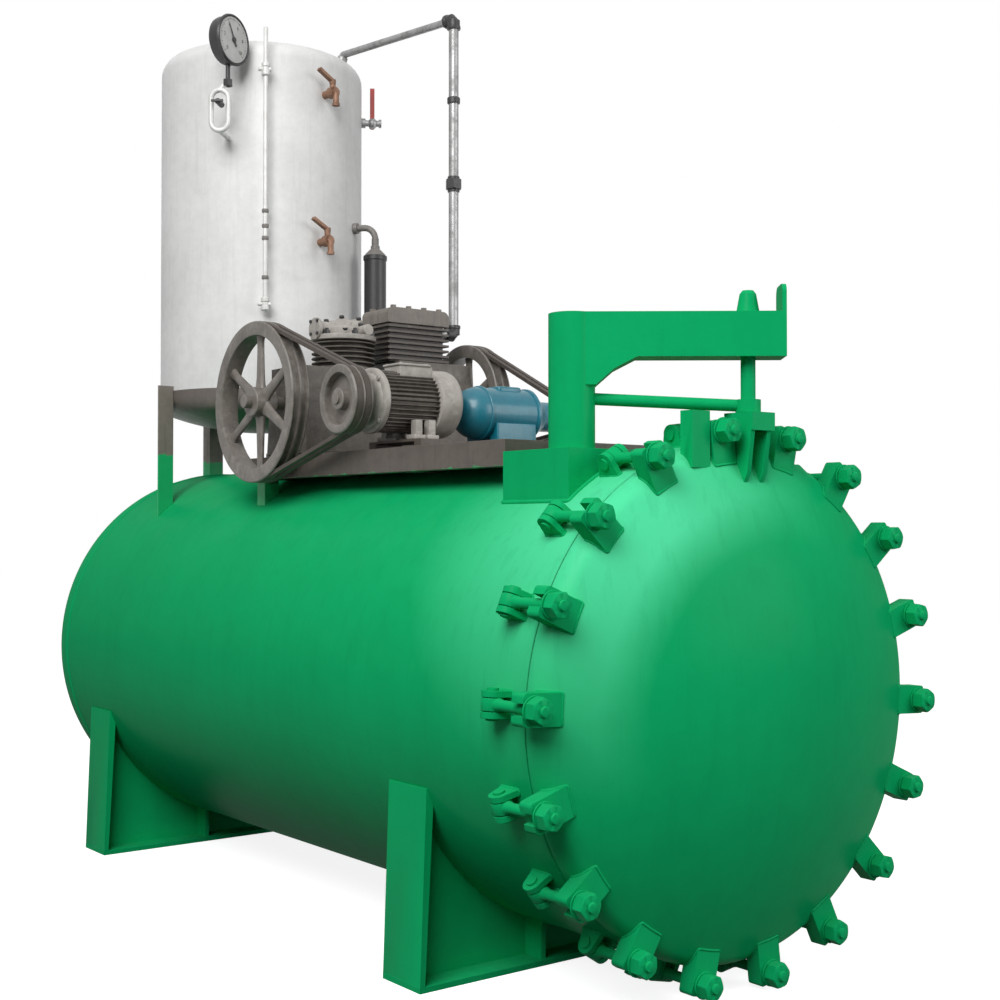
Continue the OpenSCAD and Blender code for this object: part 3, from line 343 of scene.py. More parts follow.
def hexagon(flats, low, high, steps=72):
    """Chamfered nut along Z: the hexagon's radius at turn t, held under a cone at each end."""
    t = np.linspace(0, 2 * np.pi, steps, endpoint=False)
    side = flats / 2 / np.cos((t % (np.pi / 3)) - np.pi / 6)
    drop = np.array([0.0, 0.08, 0.16, 0.3]) * flats / 2 * 0.55
    rows = np.concatenate([low + drop, high - drop[::-1]])
    cone = flats / 2 * 0.97 + np.minimum(rows - low, high - rows) * 1.75
    radius = np.minimum(side[None, :], cone[:, None])
    points = np.stack([radius * np.cos(t), radius * np.sin(t), rows[:, None] + 0 * t], -1)
    return capped(points)


def nut(flats, height, at, axes=UPRIGHT):
    """Small chamfered nut standing at a point along the last of its axes."""
    return moved(hexagon(flats, 0, height, 36), axes, at)


def head_arcs(radius, crown, knuckle):
    """Angle from a head's axis to where crown and knuckle meet, and its pole's height over the skirt."""
    inner, outer = radius - knuckle, crown - knuckle
    return math.asin(inner / outer), crown - math.sqrt(outer**2 - inner**2)


def dish(radius, crown, knuckle, skirt, steps=48):
    """Half section of a dished head as (radius, along): skirt, knuckle arc, then crown arc to the pole."""
    lean, rise = head_arcs(radius, crown, knuckle)
    t = np.linspace(0, math.pi / 2 - lean, 20)
    bend = np.stack([radius - knuckle + knuckle * np.cos(t), skirt + knuckle * np.sin(t)], -1)
    t = np.linspace(lean, 0, steps)[1:]
    cap = np.stack([crown * np.sin(t), skirt + rise - crown + crown * np.cos(t)], -1)
    return np.concatenate([[[radius, 0.0]], bend, cap])


def shell_of(head, wall, ring=()):
    """Closed profile of a head: outer face from its pole to the rim, a ring if any, inner face back."""
    outer = dish(**head)
    inner = dish(head["radius"] - wall, head["crown"] - wall, head["knuckle"] - wall, head["skirt"])
    if len(ring):
        inner = inner[inner[:, 1] > ring[-1][1]]
    return np.concatenate([outer[::-1], np.reshape(ring, (-1, 2)), inner])


def door_radius(along):
    """Radius of the door's outer face at a distance in front of the seam, on its knuckle or on its crown."""
    along = np.asarray(along, float) - HALF_GAP
    r, crown, knuckle, skirt = DOOR["radius"], DOOR["crown"], DOOR["knuckle"], DOOR["skirt"]
    lean, rise = head_arcs(r, crown, knuckle)
    bend = r - knuckle + np.sqrt(np.clip(knuckle**2 - (along - skirt) ** 2, 0, None))
    cap = np.sqrt(np.clip(crown**2 - (along - skirt - rise + crown) ** 2, 0, None))
    return np.where(along < skirt + knuckle * math.cos(lean), bend, cap)


def clamp_frame(name):
    """Pin centre of a clamp and its own axes: along the rim, along the vessel and outward."""
    pin = pivot(name)
    out = pin - AXIS
    out[1] = 0
    out /= np.linalg.norm(out)
    return pin, np.stack([np.cross(Y, out), Y, out])


def on_tank(turn, height, out=0.0):
    """Point standing off the tank's wall, turned by degrees from the front toward +X, with its own axes."""
    a = math.radians(turn)
    away = np.array([math.sin(a), -math.cos(a), 0.0])
    side = np.array([math.cos(a), math.sin(a), 0.0])
    return TANK + (TANK_R + out) * away + height * Z, np.stack([side, -away, Z])


# Shader groups and materials

PAINT, CAST, METAL, LINE = "Weathered paint", "Cast metal", "Worn metal", "Below a line"


def add(tree, kind, links=None, **settings):
    """New shader node with its settings, its inputs linked to sockets or set to values."""
    node = tree.nodes.new(kind)
    for key, value in settings.items():
        setattr(node, key, value)
    for key, value in (links or {}).items():
        if isinstance(value, bpy.types.NodeSocket):
            tree.links.new(value, node.inputs[key])
        else:
            node.inputs[key].default_value = value
    return node


def new_group(name, inputs, outputs):
    """Empty shader group with named sockets; an input's kind follows from its default."""
    tree = bpy.data.node_groups.new(name, "ShaderNodeTree")
    for label, default in inputs.items():
        kind = "NodeSocketColor" if isinstance(default, tuple) else "NodeSocketFloat"
        socket = tree.interface.new_socket(label, in_out="INPUT", socket_type=kind)
        socket.default_value = default
    for label in outputs:
        kind = "NodeSocketColor" if label == "Color" else "NodeSocketFloat"
        tree.interface.new_socket(label, in_out="OUTPUT", socket_type=kind)
    return tree, tree.nodes.new("NodeGroupInput").outputs, tree.nodes.new("NodeGroupOutput")


def noise(tree, vector, scale, detail=4.0, rough=0.55):
    """Noise value at a scale, from 0 to 1."""
    links = {"Vector": vector, "Scale": scale, "Detail": detail, "Roughness": rough}
    return add(tree, "ShaderNodeTexNoise", links).outputs["Fac"]


def spots(tree, vector, scale, detail, rough, low, high):
    """Noise cut between two levels, as patches from 0 to 1."""
    return remap(tree, noise(tree, vector, scale, detail, rough), low, high)


def remap(tree, value, low, high, to_low=0.0, to_high=1.0):
    """Value moved from one range to another and held inside it."""
    links = {"Value": value, 1: low, 2: high, 3: to_low, 4: to_high}
    return add(tree, "ShaderNodeMapRange", links).outputs[0]


def maths(tree, operation, first, second):
    """One arithmetic step on two values."""
    return add(tree, "ShaderNodeMath", {0: first, 1: second}, operation=operation).outputs[0]


def times(tree, first, second):
    """Product of two values."""
    return maths(tree, "MULTIPLY", first, second)


def plus(tree, first, second):
    """Sum of two values."""
    return maths(tree, "ADD", first, second)


def position(tree):
    """Coordinates in the object's own frame, which is the shared frame."""
    return add(tree, "ShaderNodeTexCoord").outputs["Object"]


def mix(tree, factor, first, second):
    """Blend of two colours."""
    return add(tree, "ShaderNodeMix", {0: factor, 6: first, 7: second}, data_type="RGBA").outputs[2]


def stretched(tree, vector, scale):
    """Coordinates scaled along each axis."""
    return add(tree, "ShaderNodeMapping", {"Vector": vector, "Scale": scale}).outputs[0]


def deliver(tree, out, colour, rough, height):
    """Links the results of a group to its three outputs."""
    for label, value in (("Color", colour), ("Roughness", rough), ("Height", height)):
        tree.links.new(value, out.inputs[label])


def paint_group():
    """Old paint: slow mottling, a painted highlight as a pale band on the upper left of the door's rim and
    the shell beside it, runs down the sides, dust on what faces up, chips, and orange peel.
    """
    inputs = {
        "Paint": (0.1, 0.4, 0.2, 1.0), "Shade": (0.02, 0.1, 0.05, 1.0), "Dust": (0.5, 0.5, 0.45, 1.0),
        "Chip": (0.1, 0.08, 0.07, 1.0), "Mottle": 0.5, "Runs": 0.3, "Dust amount": 0.3, "Chips": 0.2,
        "Roughness": 0.3, "Peel": 0.5, "Scale": 1.0, "Highlight colour": (0.5, 0.5, 0.5, 1.0), "Fade": 0.0,
    }
    tree, given, out = new_group(PAINT, inputs, ("Color", "Roughness", "Height"))
    here = position(tree)
    # Painted highlight: paler paint near a spot at the closure's upper left, fading with distance from it and
    # kept off the door's middle
    far, flat = (
        add(tree, "ShaderNodeVectorMath", {0: here, 1: point}, operation="DISTANCE").outputs["Value"]
        for point in (PAINTED_HIGHLIGHT_SPOT, DOOR_CROWN))
    flat = plus(tree, flat, times(tree, noise(tree, here, 6.0, 3.0), 0.03))
    painted_highlight = times(tree, remap(tree, far, 0.1, 0.6, 1.0, 0.0), remap(tree, flat, 0.42, 0.53, 0.0, 1.0))
    painted_highlight = times(tree, painted_highlight, given["Fade"])
    scaled = {0: here, "Scale": given["Scale"]}
    size = add(tree, "ShaderNodeVectorMath", scaled, operation="SCALE").outputs[0]
    slow = spots(tree, size, 2.2, 5.0, 0.6, 0.38, 0.68)
    patchy = spots(tree, size, 17.0, 6.0, 0.7, 0.4, 0.72)
    uneven = plus(tree, times(tree, slow, 0.6), times(tree, patchy, 0.4))
    colour = mix(tree, times(tree, uneven, given["Mottle"]), given["Paint"], given["Shade"])
    # Painted highlight mixed into the paint colour
    colour = mix(tree, painted_highlight, colour, given["Highlight colour"])
    drips = spots(tree, stretched(tree, size, (14.0, 14.0, 0.9)), 2.4, 3.0, 0.6, 0.52, 0.74)
    colour = mix(tree, times(tree, drips, given["Runs"]), colour, given["Shade"])
    normal = add(tree, "ShaderNodeNewGeometry").outputs["Normal"]
    up = add(tree, "ShaderNodeSeparateXYZ", {0: normal}).outputs[2]
    lie = times(tree, remap(tree, up, 0.35, 1.0), spots(tree, size, 7.0, 6.0, 0.65, 0.3, 0.75))
    dusty = times(tree, lie, given["Dust amount"])
    colour = mix(tree, dusty, colour, given["Dust"])
    bare = times(tree, spots(tree, size, 44.0, 9.0, 0.78, 0.655, 0.685), given["Chips"])
    rough = plus(tree, given["Roughness"], times(tree, dusty, 0.4))
    rough = plus(tree, rough, times(tree, patchy, 0.08))
    peel = times(tree, noise(tree, here, 190.0, 2.0, 0.5), given["Peel"])
    dents = times(tree, noise(tree, here, 4.0, 2.0, 0.4), 3.0)
    relief = maths(tree, "SUBTRACT", plus(tree, peel, dents), times(tree, bare, 0.6))
    deliver(tree, out, mix(tree, bare, colour, given["Chip"]), rough, relief)


def cast_group():
    """Sand-cast metal: pitted grain, oily grime in patches and a paler tone where it is rubbed."""
    inputs = {
        "Metal": (0.3, 0.28, 0.26, 1.0), "Grime": (0.05, 0.04, 0.035, 1.0), "Rubbed": (0.5, 0.48, 0.45, 1.0),
        "Grime amount": 0.5, "Rub amount": 0.3, "Streaks": 0.2, "Roughness": 0.5, "Grain": 1.0,
    }
    tree, given, out = new_group(CAST, inputs, ("Color", "Roughness", "Height"))
    here = position(tree)
    run = spots(tree, stretched(tree, here, (60.0, 60.0, 5.0)), 1.0, 4.0, 0.65, 0.45, 0.7)
    grime = times(tree, spots(tree, here, 13.0, 8.0, 0.72, 0.42, 0.66), given["Grime amount"])
    grime = maths(tree, "MAXIMUM", grime, times(tree, run, given["Streaks"]))
    rub = times(tree, spots(tree, here, 31.0, 6.0, 0.7, 0.5, 0.72), given["Rub amount"])
    colour = mix(tree, grime, given["Metal"], given["Grime"])
    rough = maths(tree, "SUBTRACT", given["Roughness"], times(tree, grime, 0.18))
    grain = times(tree, noise(tree, here, 320.0, 5.0, 0.7), given["Grain"])
    deliver(tree, out, mix(tree, rub, colour, given["Rubbed"]), rough, grain)


def metal_group():
    """Bare drawn metal: fine lines across the run, stains in patches."""
    inputs = {
        "Metal": (0.6, 0.6, 0.6, 1.0), "Stain": (0.2, 0.17, 0.14, 1.0), "Stain amount": 0.4,
        "Roughness": 0.3, "Lines": 0.4,
    }
    tree, given, out = new_group(METAL, inputs, ("Color", "Roughness", "Height"))
    here = position(tree)
    stain = times(tree, spots(tree, here, 24.0, 7.0, 0.7, 0.45, 0.7), given["Stain amount"])
    rough = plus(tree, given["Roughness"], times(tree, stain, 0.4))
    lines = noise(tree, stretched(tree, here, (30.0, 30.0, 900.0)), 1.0, 2.0, 0.5)
    deliver(tree, out, mix(tree, stain, given["Metal"], given["Stain"]), rough,
            times(tree, lines, given["Lines"]))


def line_group():
    """Mask that is 1 below a height, with an edge that wanders a little as brushed paint does."""
    tree, given, out = new_group(LINE, {"Line": 1.0, "Wander": 0.01}, ("Mask",))
    here = position(tree)
    wander = times(tree, remap(tree, noise(tree, here, 26.0, 3.0), 0.3, 0.7, -1.0, 1.0), given["Wander"])
    height = plus(tree, add(tree, "ShaderNodeSeparateXYZ", {0: here}).outputs[2], wander)
    over = maths(tree, "DIVIDE", maths(tree, "SUBTRACT", height, given["Line"]), 0.004)
    tree.links.new(remap(tree, over, -1.0, 1.0, 1.0, 0.0), out.inputs["Mask"])


def finish_material(name, kind, values, bump=0.0005, below=None, shader_values=()):
    """Principled surface from one shader group, or from two that are parted at a height."""
    material = bpy.data.materials.new(name)
    material.use_nodes = True
    tree = material.node_tree
    tree.nodes.clear()

    def effect_of(group, group_values):
        """Outputs of a shader group with its inputs set."""
        return add(tree, "ShaderNodeGroup", group_values, node_tree=bpy.data.node_groups[group]).outputs

    effect = effect_of(kind, values)
    colour = effect["Color"]
    if below:
        line, lower_values = below
        lower = effect_of(kind, lower_values)
        mask = effect_of(LINE, {"Line": line})
        colour = mix(tree, mask["Mask"], colour, lower["Color"])
    relief = add(tree, "ShaderNodeBump", {"Height": effect["Height"], "Distance": bump, "Strength": 0.7})
    shader = add(tree, "ShaderNodeBsdfPrincipled", {
        "Base Color": colour, "Roughness": effect["Roughness"], "Normal": relief.outputs[0],
        **dict(shader_values)})
    add(tree, "ShaderNodeOutputMaterial", {"Surface": shader.outputs[0]})


def rgb(red, green, blue):
    """Screen colour from 0 to 255 as the linear colour of a shader socket."""
    screen = np.array([red, green, blue]) / 255
    linear = np.where(screen <= 0.04045, screen / 12.92, ((screen + 0.055) / 1.055) ** 2.4)
    return (*(float(part) for part in linear), 1.0)


def named(labels, row):
    """Inputs of a shader group from a row of a table.

    Three numbers together are a screen colour, and a word names a colour of the panel.
    """
    values = {}
    for label, value in zip(labels, row):
        if isinstance(value, str):
            value = getattr(bpy.context.scene.vessel_colours, value)
        values[label] = rgb(*value) if isinstance(value, tuple) else value
    return values


PAINT_LABELS = (
    "Paint", "Shade", "Dust", "Chip", "Mottle", "Runs", "Dust amount", "Chips", "Roughness", "Peel", "Scale")
CAST_LABELS = ("Metal", "Grime", "Rubbed", "Grime amount", "Rub amount", "Streaks", "Roughness", "Grain")
METAL_LABELS = ("Metal", "Stain", "Stain amount", "Roughness")
# Inputs of paint and castings in the order of their labels
GREEN = ("green", "green_shade", (150, 205, 178), (40, 70, 56), 0.35, 0.16, 0.05, 0.12, 0.44, 0.5)
BROWN = ((92, 84, 77), (60, 52, 46), (128, 120, 112), (150, 138, 126), 0.8, 0.5, 0.35, 0.3, 0.5, 0.8, 2.0)
BLOCK = ((76, 69, 63), (38, 33, 30), (112, 104, 96), 0.5, 0.3, 0.6, 0.5)
# Name, then the inputs
PAINTS = (
    ("tank paint", "tank", (196, 196, 194), (206, 206, 202), (150, 146, 140),
     0.5, 0.22, 0.2, 0.1, 0.5, 0.4, 1.8),
    ("black paint", (46, 45, 46), (22, 22, 24), (104, 102, 100), (120, 116, 110),
     0.6, 0.3, 0.25, 0.2, 0.38, 0.5, 3.0),
    ("grey paint", (128, 124, 120), (84, 80, 76), (176, 172, 168), (60, 56, 52),
     0.6, 0.3, 0.3, 0.2, 0.45, 0.6, 3.0),
    ("blue paint", "motor", (4, 76, 96), (120, 150, 158), (30, 50, 56),
     0.5, 0.3, 0.15, 0.3, 0.34, 0.6, 3.0),
    ("red lever", (176, 58, 52), (120, 34, 30), (190, 120, 110), (90, 60, 54),
     0.5, 0.2, 0.2, 0.2, 0.35, 0.4, 6.0))
# Name and depth of the bumps, then the inputs
CASTINGS = (
    ("cast iron", 0.0008, (104, 98, 91), (46, 40, 36), (150, 144, 136), 0.7, 0.35, 0.3, 0.55),
    ("machined iron", 0.0005, (122, 116, 109), (56, 50, 46), (168, 162, 154), 0.55, 0.4, 0.2, 0.45),
    ("pale casting", 0.0008, (172, 167, 160), (84, 78, 72), (208, 204, 198), 0.45, 0.4, 0.2, 0.5),
    ("dark casting", 0.0008, (96, 89, 82), (32, 28, 26), (128, 120, 112), 0.6, 0.35, 0.6, 0.5),
    ("belt rubber", 0.0004, (74, 66, 60), (34, 30, 28), (112, 102, 94), 0.4, 0.3, 0.1, 0.7, 0.5),
    ("door seal", 0.0003, (30, 30, 30), (14, 14, 14), (48, 48, 48), 0.4, 0.3, 0.0, 0.75, 0.5),
    ("dial face", 0.0001, (200, 200, 198), (158, 156, 152), (214, 214, 212), 0.5, 0.3, 0.2, 0.4, 0.2))
# Settings of the surface shader beside the group's results
SHINE = {"blue paint": {"Coat Weight": 0.2}, "dial face": {"Coat Weight": 0.4, "Coat Roughness": 0.08}}
# Name, depth of the bumps and share of metal, then the inputs
METALS = (
    ("pipe steel", 0.0002, 0.6, (160, 160, 160), (72, 68, 64), 0.6, 0.36),
    ("pale tube", 0.0001, 0.1, (226, 226, 224), (170, 166, 160), 0.4, 0.35),
    ("aged brass", 0.0002, 0.3, (146, 110, 88), (84, 58, 44), 0.8, 0.48))


def tint(name, description, *screen):
    """Colour of the panel, given as a screen colour."""
    return FloatVectorProperty(
        name=name, description=description, subtype="COLOR", size=4, min=0, max=1, default=rgb(*screen))


def length(name, description, low, high, default):
    """Length of the panel, in metres."""
    return FloatProperty(
        name=name, description=description, subtype="DISTANCE", unit="LENGTH", min=low, max=high,
        default=default)


def grey(level):
    """Grey of a shader socket."""
    return (level, level, level, 1.0)


class VesselColours(bpy.types.PropertyGroup):
    """Colours of the main finishes."""

    green: tint("Vessel green", "Green paint of the cylinder, clamps and davit", 14, 176, 106)
    green_shade: tint("Green in the runs", "Darker green where the paint is thick or dirty", 6, 142, 82)
    tank: tint("Tank paint", "Pale paint of the air tank", 240, 240, 239)
    motor: tint("Blue motor", "Teal paint of motor 2", 14, 114, 132)


class VesselSizes(bpy.types.PropertyGroup):
    """Sizes of the small details."""

    bead: length("Weld bead", "Radius of the weld beads on the shell", 0.001, 0.01, 0.0045)
    thread_pitch: length("Thread pitch", "Distance between threads on the swing bolts", 0.002, 0.006, 0.003)
    nut_flats: length("Nut across flats", "Size of the nuts on the swing bolts", 0.04, 0.056, 0.052)
    fins: IntProperty(
        name="Motor fins", description="Number of fins round the body of motor 1", min=20, max=60, default=40)
    ticks: IntProperty(
        name="Dial ticks", description="Number of marks round the gauge's dial", min=10, max=100, default=50)


class VESSEL_OT_finishes(bpy.types.Operator):
    """Makes the materials and gives one to every carried-over solid"""

    bl_idname = "vessel.finishes"
    bl_label = "Finishes"

    def execute(self, context):
        for make in (paint_group, cast_group, metal_group, line_group):
            make()
        green, brown = named(PAINT_LABELS, GREEN), named(PAINT_LABELS, BROWN)
        glossy = {"Specular IOR Level": 0.0, "Coat Weight": 0.07, "Coat Roughness": 0.28}
        finish_material("green paint", PAINT, green, shader_values=glossy)
        # Green paint with a painted highlight: pale green on the closure's upper left
        highlighted_green = {**green, "Highlight colour": rgb(92, 232, 172), "Fade": 0.8}
        finish_material("green paint with painted highlight", PAINT, highlighted_green, shader_values=glossy)
        finish_material("frame paint", PAINT, brown, below=(FRAME_LINE, {**green, "Runs": 0.4}))
        undercoat = {**brown, "Paint": rgb(116, 108, 102), "Shade": rgb(76, 70, 66), "Scale": 1.6}
        finish_material("undercoat", PAINT, undercoat)
        leg = {**brown, "Paint": rgb(132, 124, 116), "Shade": rgb(84, 76, 70)}
        finish_material("leg paint", PAINT, leg, below=(FOOT_LINE, green))
        for name, *row in PAINTS:
            finish_material(name, PAINT, named(PAINT_LABELS, row), shader_values=SHINE.get(name, {}))
        for name, bump, *row in CASTINGS:
            finish_material(name, CAST, named(CAST_LABELS, row), bump, shader_values=SHINE.get(name, {}))
        block = named(CAST_LABELS, BLOCK)
        top = {"Metal": rgb(120, 113, 105), "Grime": rgb(66, 59, 53), "Rubbed": rgb(152, 146, 138)}
        finish_material("block casting", CAST, {**block, **top}, 0.0008, below=(COVER_LINE, block))
        for name, bump, metallic, *row in METALS:
            finish_material(name, METAL, named(METAL_LABELS, row), bump, shader_values={"Metallic": metallic})
        by_material = {
            "green paint": ("hinge_pins", "davit_column", "davit_stay", "hanging_rod"),
            "door seal": ("door_gasket",),
            "belt rubber": ("belts_1", "belts_2"),
            "pipe steel": ("lever_valve",),
            "aged brass": ("tank_cocks", "cock_lever_1", "cock_lever_2"),
            "red lever": ("valve_lever",),
        }
        for material, names in by_material.items():
            for name in names:
                NODES[name].data.materials.clear()
                NODES[name].data.materials.append(bpy.data.materials[material])
        return {"FINISHED"}


class VESSEL_OT_plate(bpy.types.Operator):
    """Turns the shell, the door, the rear head and the air tank as smooth plate"""

    bl_idname = "vessel.plate"
    bl_label = "Shell, heads and tank"

    def execute(self, context):
        front, end = SHELL_LOW[1], SHELL_HIGH[1]
        bore, ring, edge = VESSEL_R - PLATE, VESSEL_R - RING_DEPTH, 0.0015
        shell = [(VESSEL_R - edge, front), (VESSEL_R, front + edge), (VESSEL_R, end), (bore, end),
                 (bore, front + RING_LENGTH), (ring, front + RING_LENGTH), (ring, front)]
        shell = revolve(shell, AXIS, Y, VESSEL_STEPS, closed=True)
        # Shell and door take the green paint with the painted highlight by the closure
        dress("shell_plate", shell, "green paint with painted highlight", "vessel_shell")
        door_ring = [(VESSEL_R, 0.0), (ring, 0.0), (ring, DOOR_RING_LENGTH), (DOOR_BORE, DOOR_RING_LENGTH)]
        door = revolve(shell_of(DOOR, PLATE, door_ring), AXIS + (SEAM - HALF_GAP) * Y, -Y, VESSEL_STEPS)
        dress("door_plate", door, "green paint with painted highlight", "door_dish")
        rear = revolve(shell_of(REAR, PLATE), AXIS + end * Y, Y, VESSEL_STEPS)
        dress("rear_head_plate", rear, "green paint", "rear_head")
        low, high, inside = TANK_LOW[2], TANK_HIGH[2], TANK_R - TANK_PLATE
        wall = [(TANK_R, low), (TANK_R, high), (inside, high), (inside, low)]
        wall = revolve(wall, TANK, Z, TANK_STEPS, closed=True)
        dress("tank_wall", wall, "tank paint", "tank_shell")
        head = shell_of(TANK_END, TANK_PLATE)
        dress("tank_top_plate", revolve(head, TANK + high * Z, Z, TANK_STEPS), "tank paint",
              "tank_top_head")
        dress("tank_bottom_plate", revolve(head, TANK + low * Z, -Z, TANK_STEPS), "undercoat",
              "tank_bottom_head")
        return {"FINISHED"}


class VESSEL_OT_plates(bpy.types.Operator):
    """Rounds the edges of the plate work, the castings and the frame"""

    bl_idname = "vessel.plates"
    bl_label = "Plate work and castings"

    def execute(self, context):
        for material, slot, pieces in (
            ("green paint", "green_paint", (
                ("front_saddle", "front_saddle_plate", 0.002), ("rear_saddle", "rear_saddle_plate", 0.002),
                ("hinge_lugs", "hinge_lug_plates", 0.0018), ("door_forks", "door_fork_blocks", 0.0025),
                ("door_hanger", "door_bracket", 0.0025), ("davit_pedestal", "davit_post", 0.004),
                ("davit_arm", "davit_beam", 0.003))),
            ("frame paint", "brown_paint", (
                ("machine_frame", "frame_channels", 0.002), ("motor_1_base", "motor_rails", 0.002))),
            ("leg paint", "tank_grey", (("tank_legs", "tank_leg_angles", 0.0015),)),
            ("cast iron", "cast_iron", (
                ("compressor_1_crankcase", "crankcase_1_casting", 0.004),
                ("compressor_2_crankcase", "crankcase_2_casting", 0.004))),
            ("block casting", "cast_iron", (("compressor_2_cylinder", "cylinder_2_block", 0.0015),)),
        ):
            for node, name, width in pieces:
                soften(name, node, material, width)
        return {"FINISHED"}


class VESSEL_OT_bolts(bpy.types.Operator):
    """Forges the swing bolts: eye, shank with a screw thread, washer and chamfered nut"""

    bl_idname = "vessel.bolts"
    bl_label = "Swing bolts"

    shank_r, tip, thread_length = 0.012, -0.18, 0.015
    washer_at, washer_t, nut_t = -0.1393, 0.004, 0.03

    def execute(self, context):
        sizes = context.scene.vessel_sizes
        bolt = self.bolt(sizes.thread_pitch, sizes.nut_flats)
        for name in BOLTS:
            pin, turn = clamp_frame(name)
            place(name.replace("swing_bolt", "eye_bolt"), moved(bolt, turn, pin), "green paint", name,
                  (name,), smooth=32)
        return {"FINISHED"}

    def bolt(self, pitch, flats):
        """All parts of a bolt round its pin; the shank runs along -Y and the nut sits before the fork."""
        inner, outer, half, edge = 0.0094, 0.024, 0.014, 0.0022
        eye = mirrored([(inner + 0.001, -half), (outer - edge, -half), (outer - 0.0006, edge * 0.4 - half),
                        (outer, edge - half)])
        eye += [(inner, half - 0.001), (inner, 0.001 - half)]
        r, root = self.shank_r, self.tip + self.thread_length - 0.001
        shank = [(0, -0.0135), (r + 0.005, -0.0135), (r + 0.002, -0.027), (r, -0.034), (r, root), (0, root)]
        hole, rim, face = 0.0125, 0.031, self.washer_at
        back = face - self.washer_t
        washer = [(hole, face), (rim - 0.001, face), (rim, face - 0.001), (rim, back + 0.001),
                  (rim - 0.001, back), (hole, back)]
        points, faces = hexagon(flats, 0, self.nut_t)
        head = (np.stack([points[:, 0], back - points[:, 2], points[:, 1]], -1), faces)
        return join(
            revolve(eye, ORIGIN, X, 48, closed=True), revolve(shank, ORIGIN, Y, 32),
            revolve(washer, ORIGIN, Y, 56, closed=True), head, self.thread(pitch))

    def thread(self, pitch):
        """Screw surface along +Y: the radius follows a triangle wave of (along / pitch - turn)."""
        rows, depth, tip_scale = int(self.thread_length / pitch * 8) + 1, 0.0016, 0.84
        along = np.linspace(0, self.thread_length, rows)[:, None]
        turn = np.linspace(0, 1, 32, endpoint=False)[None, :]
        wave = np.abs(((along / pitch - turn) % 1) * 2 - 1)
        lead = np.clip(along / (0.8 * pitch), 0, 1)
        r = (self.shank_r - depth * wave * lead) * (tip_scale + (1 - tip_scale) * np.sqrt(lead))
        angle = 2 * np.pi * turn + 0 * along
        return capped(np.stack([r * np.cos(angle), self.tip + along + 0 * angle, r * np.sin(angle)], -1))


class VESSEL_OT_welds(bpy.types.Operator):
    """Lays the weld beads round the rear head, the lugs, the forks and the pedestal"""

    bl_idname = "vessel.welds"
    bl_label = "Weld beads"

    lug_off, lug_half, lug_run = 0.0225, 0.0065, (0.0445, 0.1055)
    fork_half, fork_run = 0.035, (-0.063, -0.0255)

    def execute(self, context):
        radius = context.scene.vessel_sizes.bead
        self.lay("rear_head_weld", bead(
            circle(AXIS + Y * SHELL_HIGH[1], Y, VESSEL_R - radius * 0.35, 2600), radius))
        turns = [clamp_frame(name)[1] for name in BOLTS]
        self.lay("lug_welds", join(*(
            self.foot(turn, side * self.lug_off, self.lug_half, self.lug_run, lambda along: VESSEL_R)
            for turn in turns for side in (-1, 1))))
        self.lay("fork_welds", join(*(
            self.foot(turn, 0.0, self.fork_half, self.fork_run, lambda along: door_radius(-along))
            for turn in turns)))
        low, high = corners("davit_pedestal")
        middle, half = (low[0] + high[0]) / 2, (high[0] - low[0]) / 2
        outline = resample(self.box(middle - half, middle + half, low[1], high[1]), 0.003, closed=True)
        height = AXIS[2] + np.sqrt(VESSEL_R**2 - outline[:, 0] ** 2)
        self.lay("pedestal_weld", bead(np.column_stack([outline, height]), radius * 1.2))
        return {"FINISHED"}

    @staticmethod
    def lay(name, surface):
        """Green bead on the vessel."""
        place(name, surface, "green paint", "vessel", smooth=80)

    @staticmethod
    def box(left, right, start, end):
        """Corners of a rectangle in order."""
        return [(left, start), (right, start), (right, end), (left, end)]

    def foot(self, turn, middle, half, run, radius_at):
        """Bead round the foot of a plate: a rounded rectangle laid on a round body."""
        outline = rounded(self.box(middle - half, middle + half, *run), 0.003, 4)
        outline = resample(outline, 0.003, closed=True)
        rise = np.sqrt(radius_at(outline[:, 1]) ** 2 - outline[:, 0] ** 2)
        points, faces = bead(np.column_stack([outline, rise]), 0.0032, 0.005, 6)
        return points @ turn + AXIS + SEAM * Y, faces


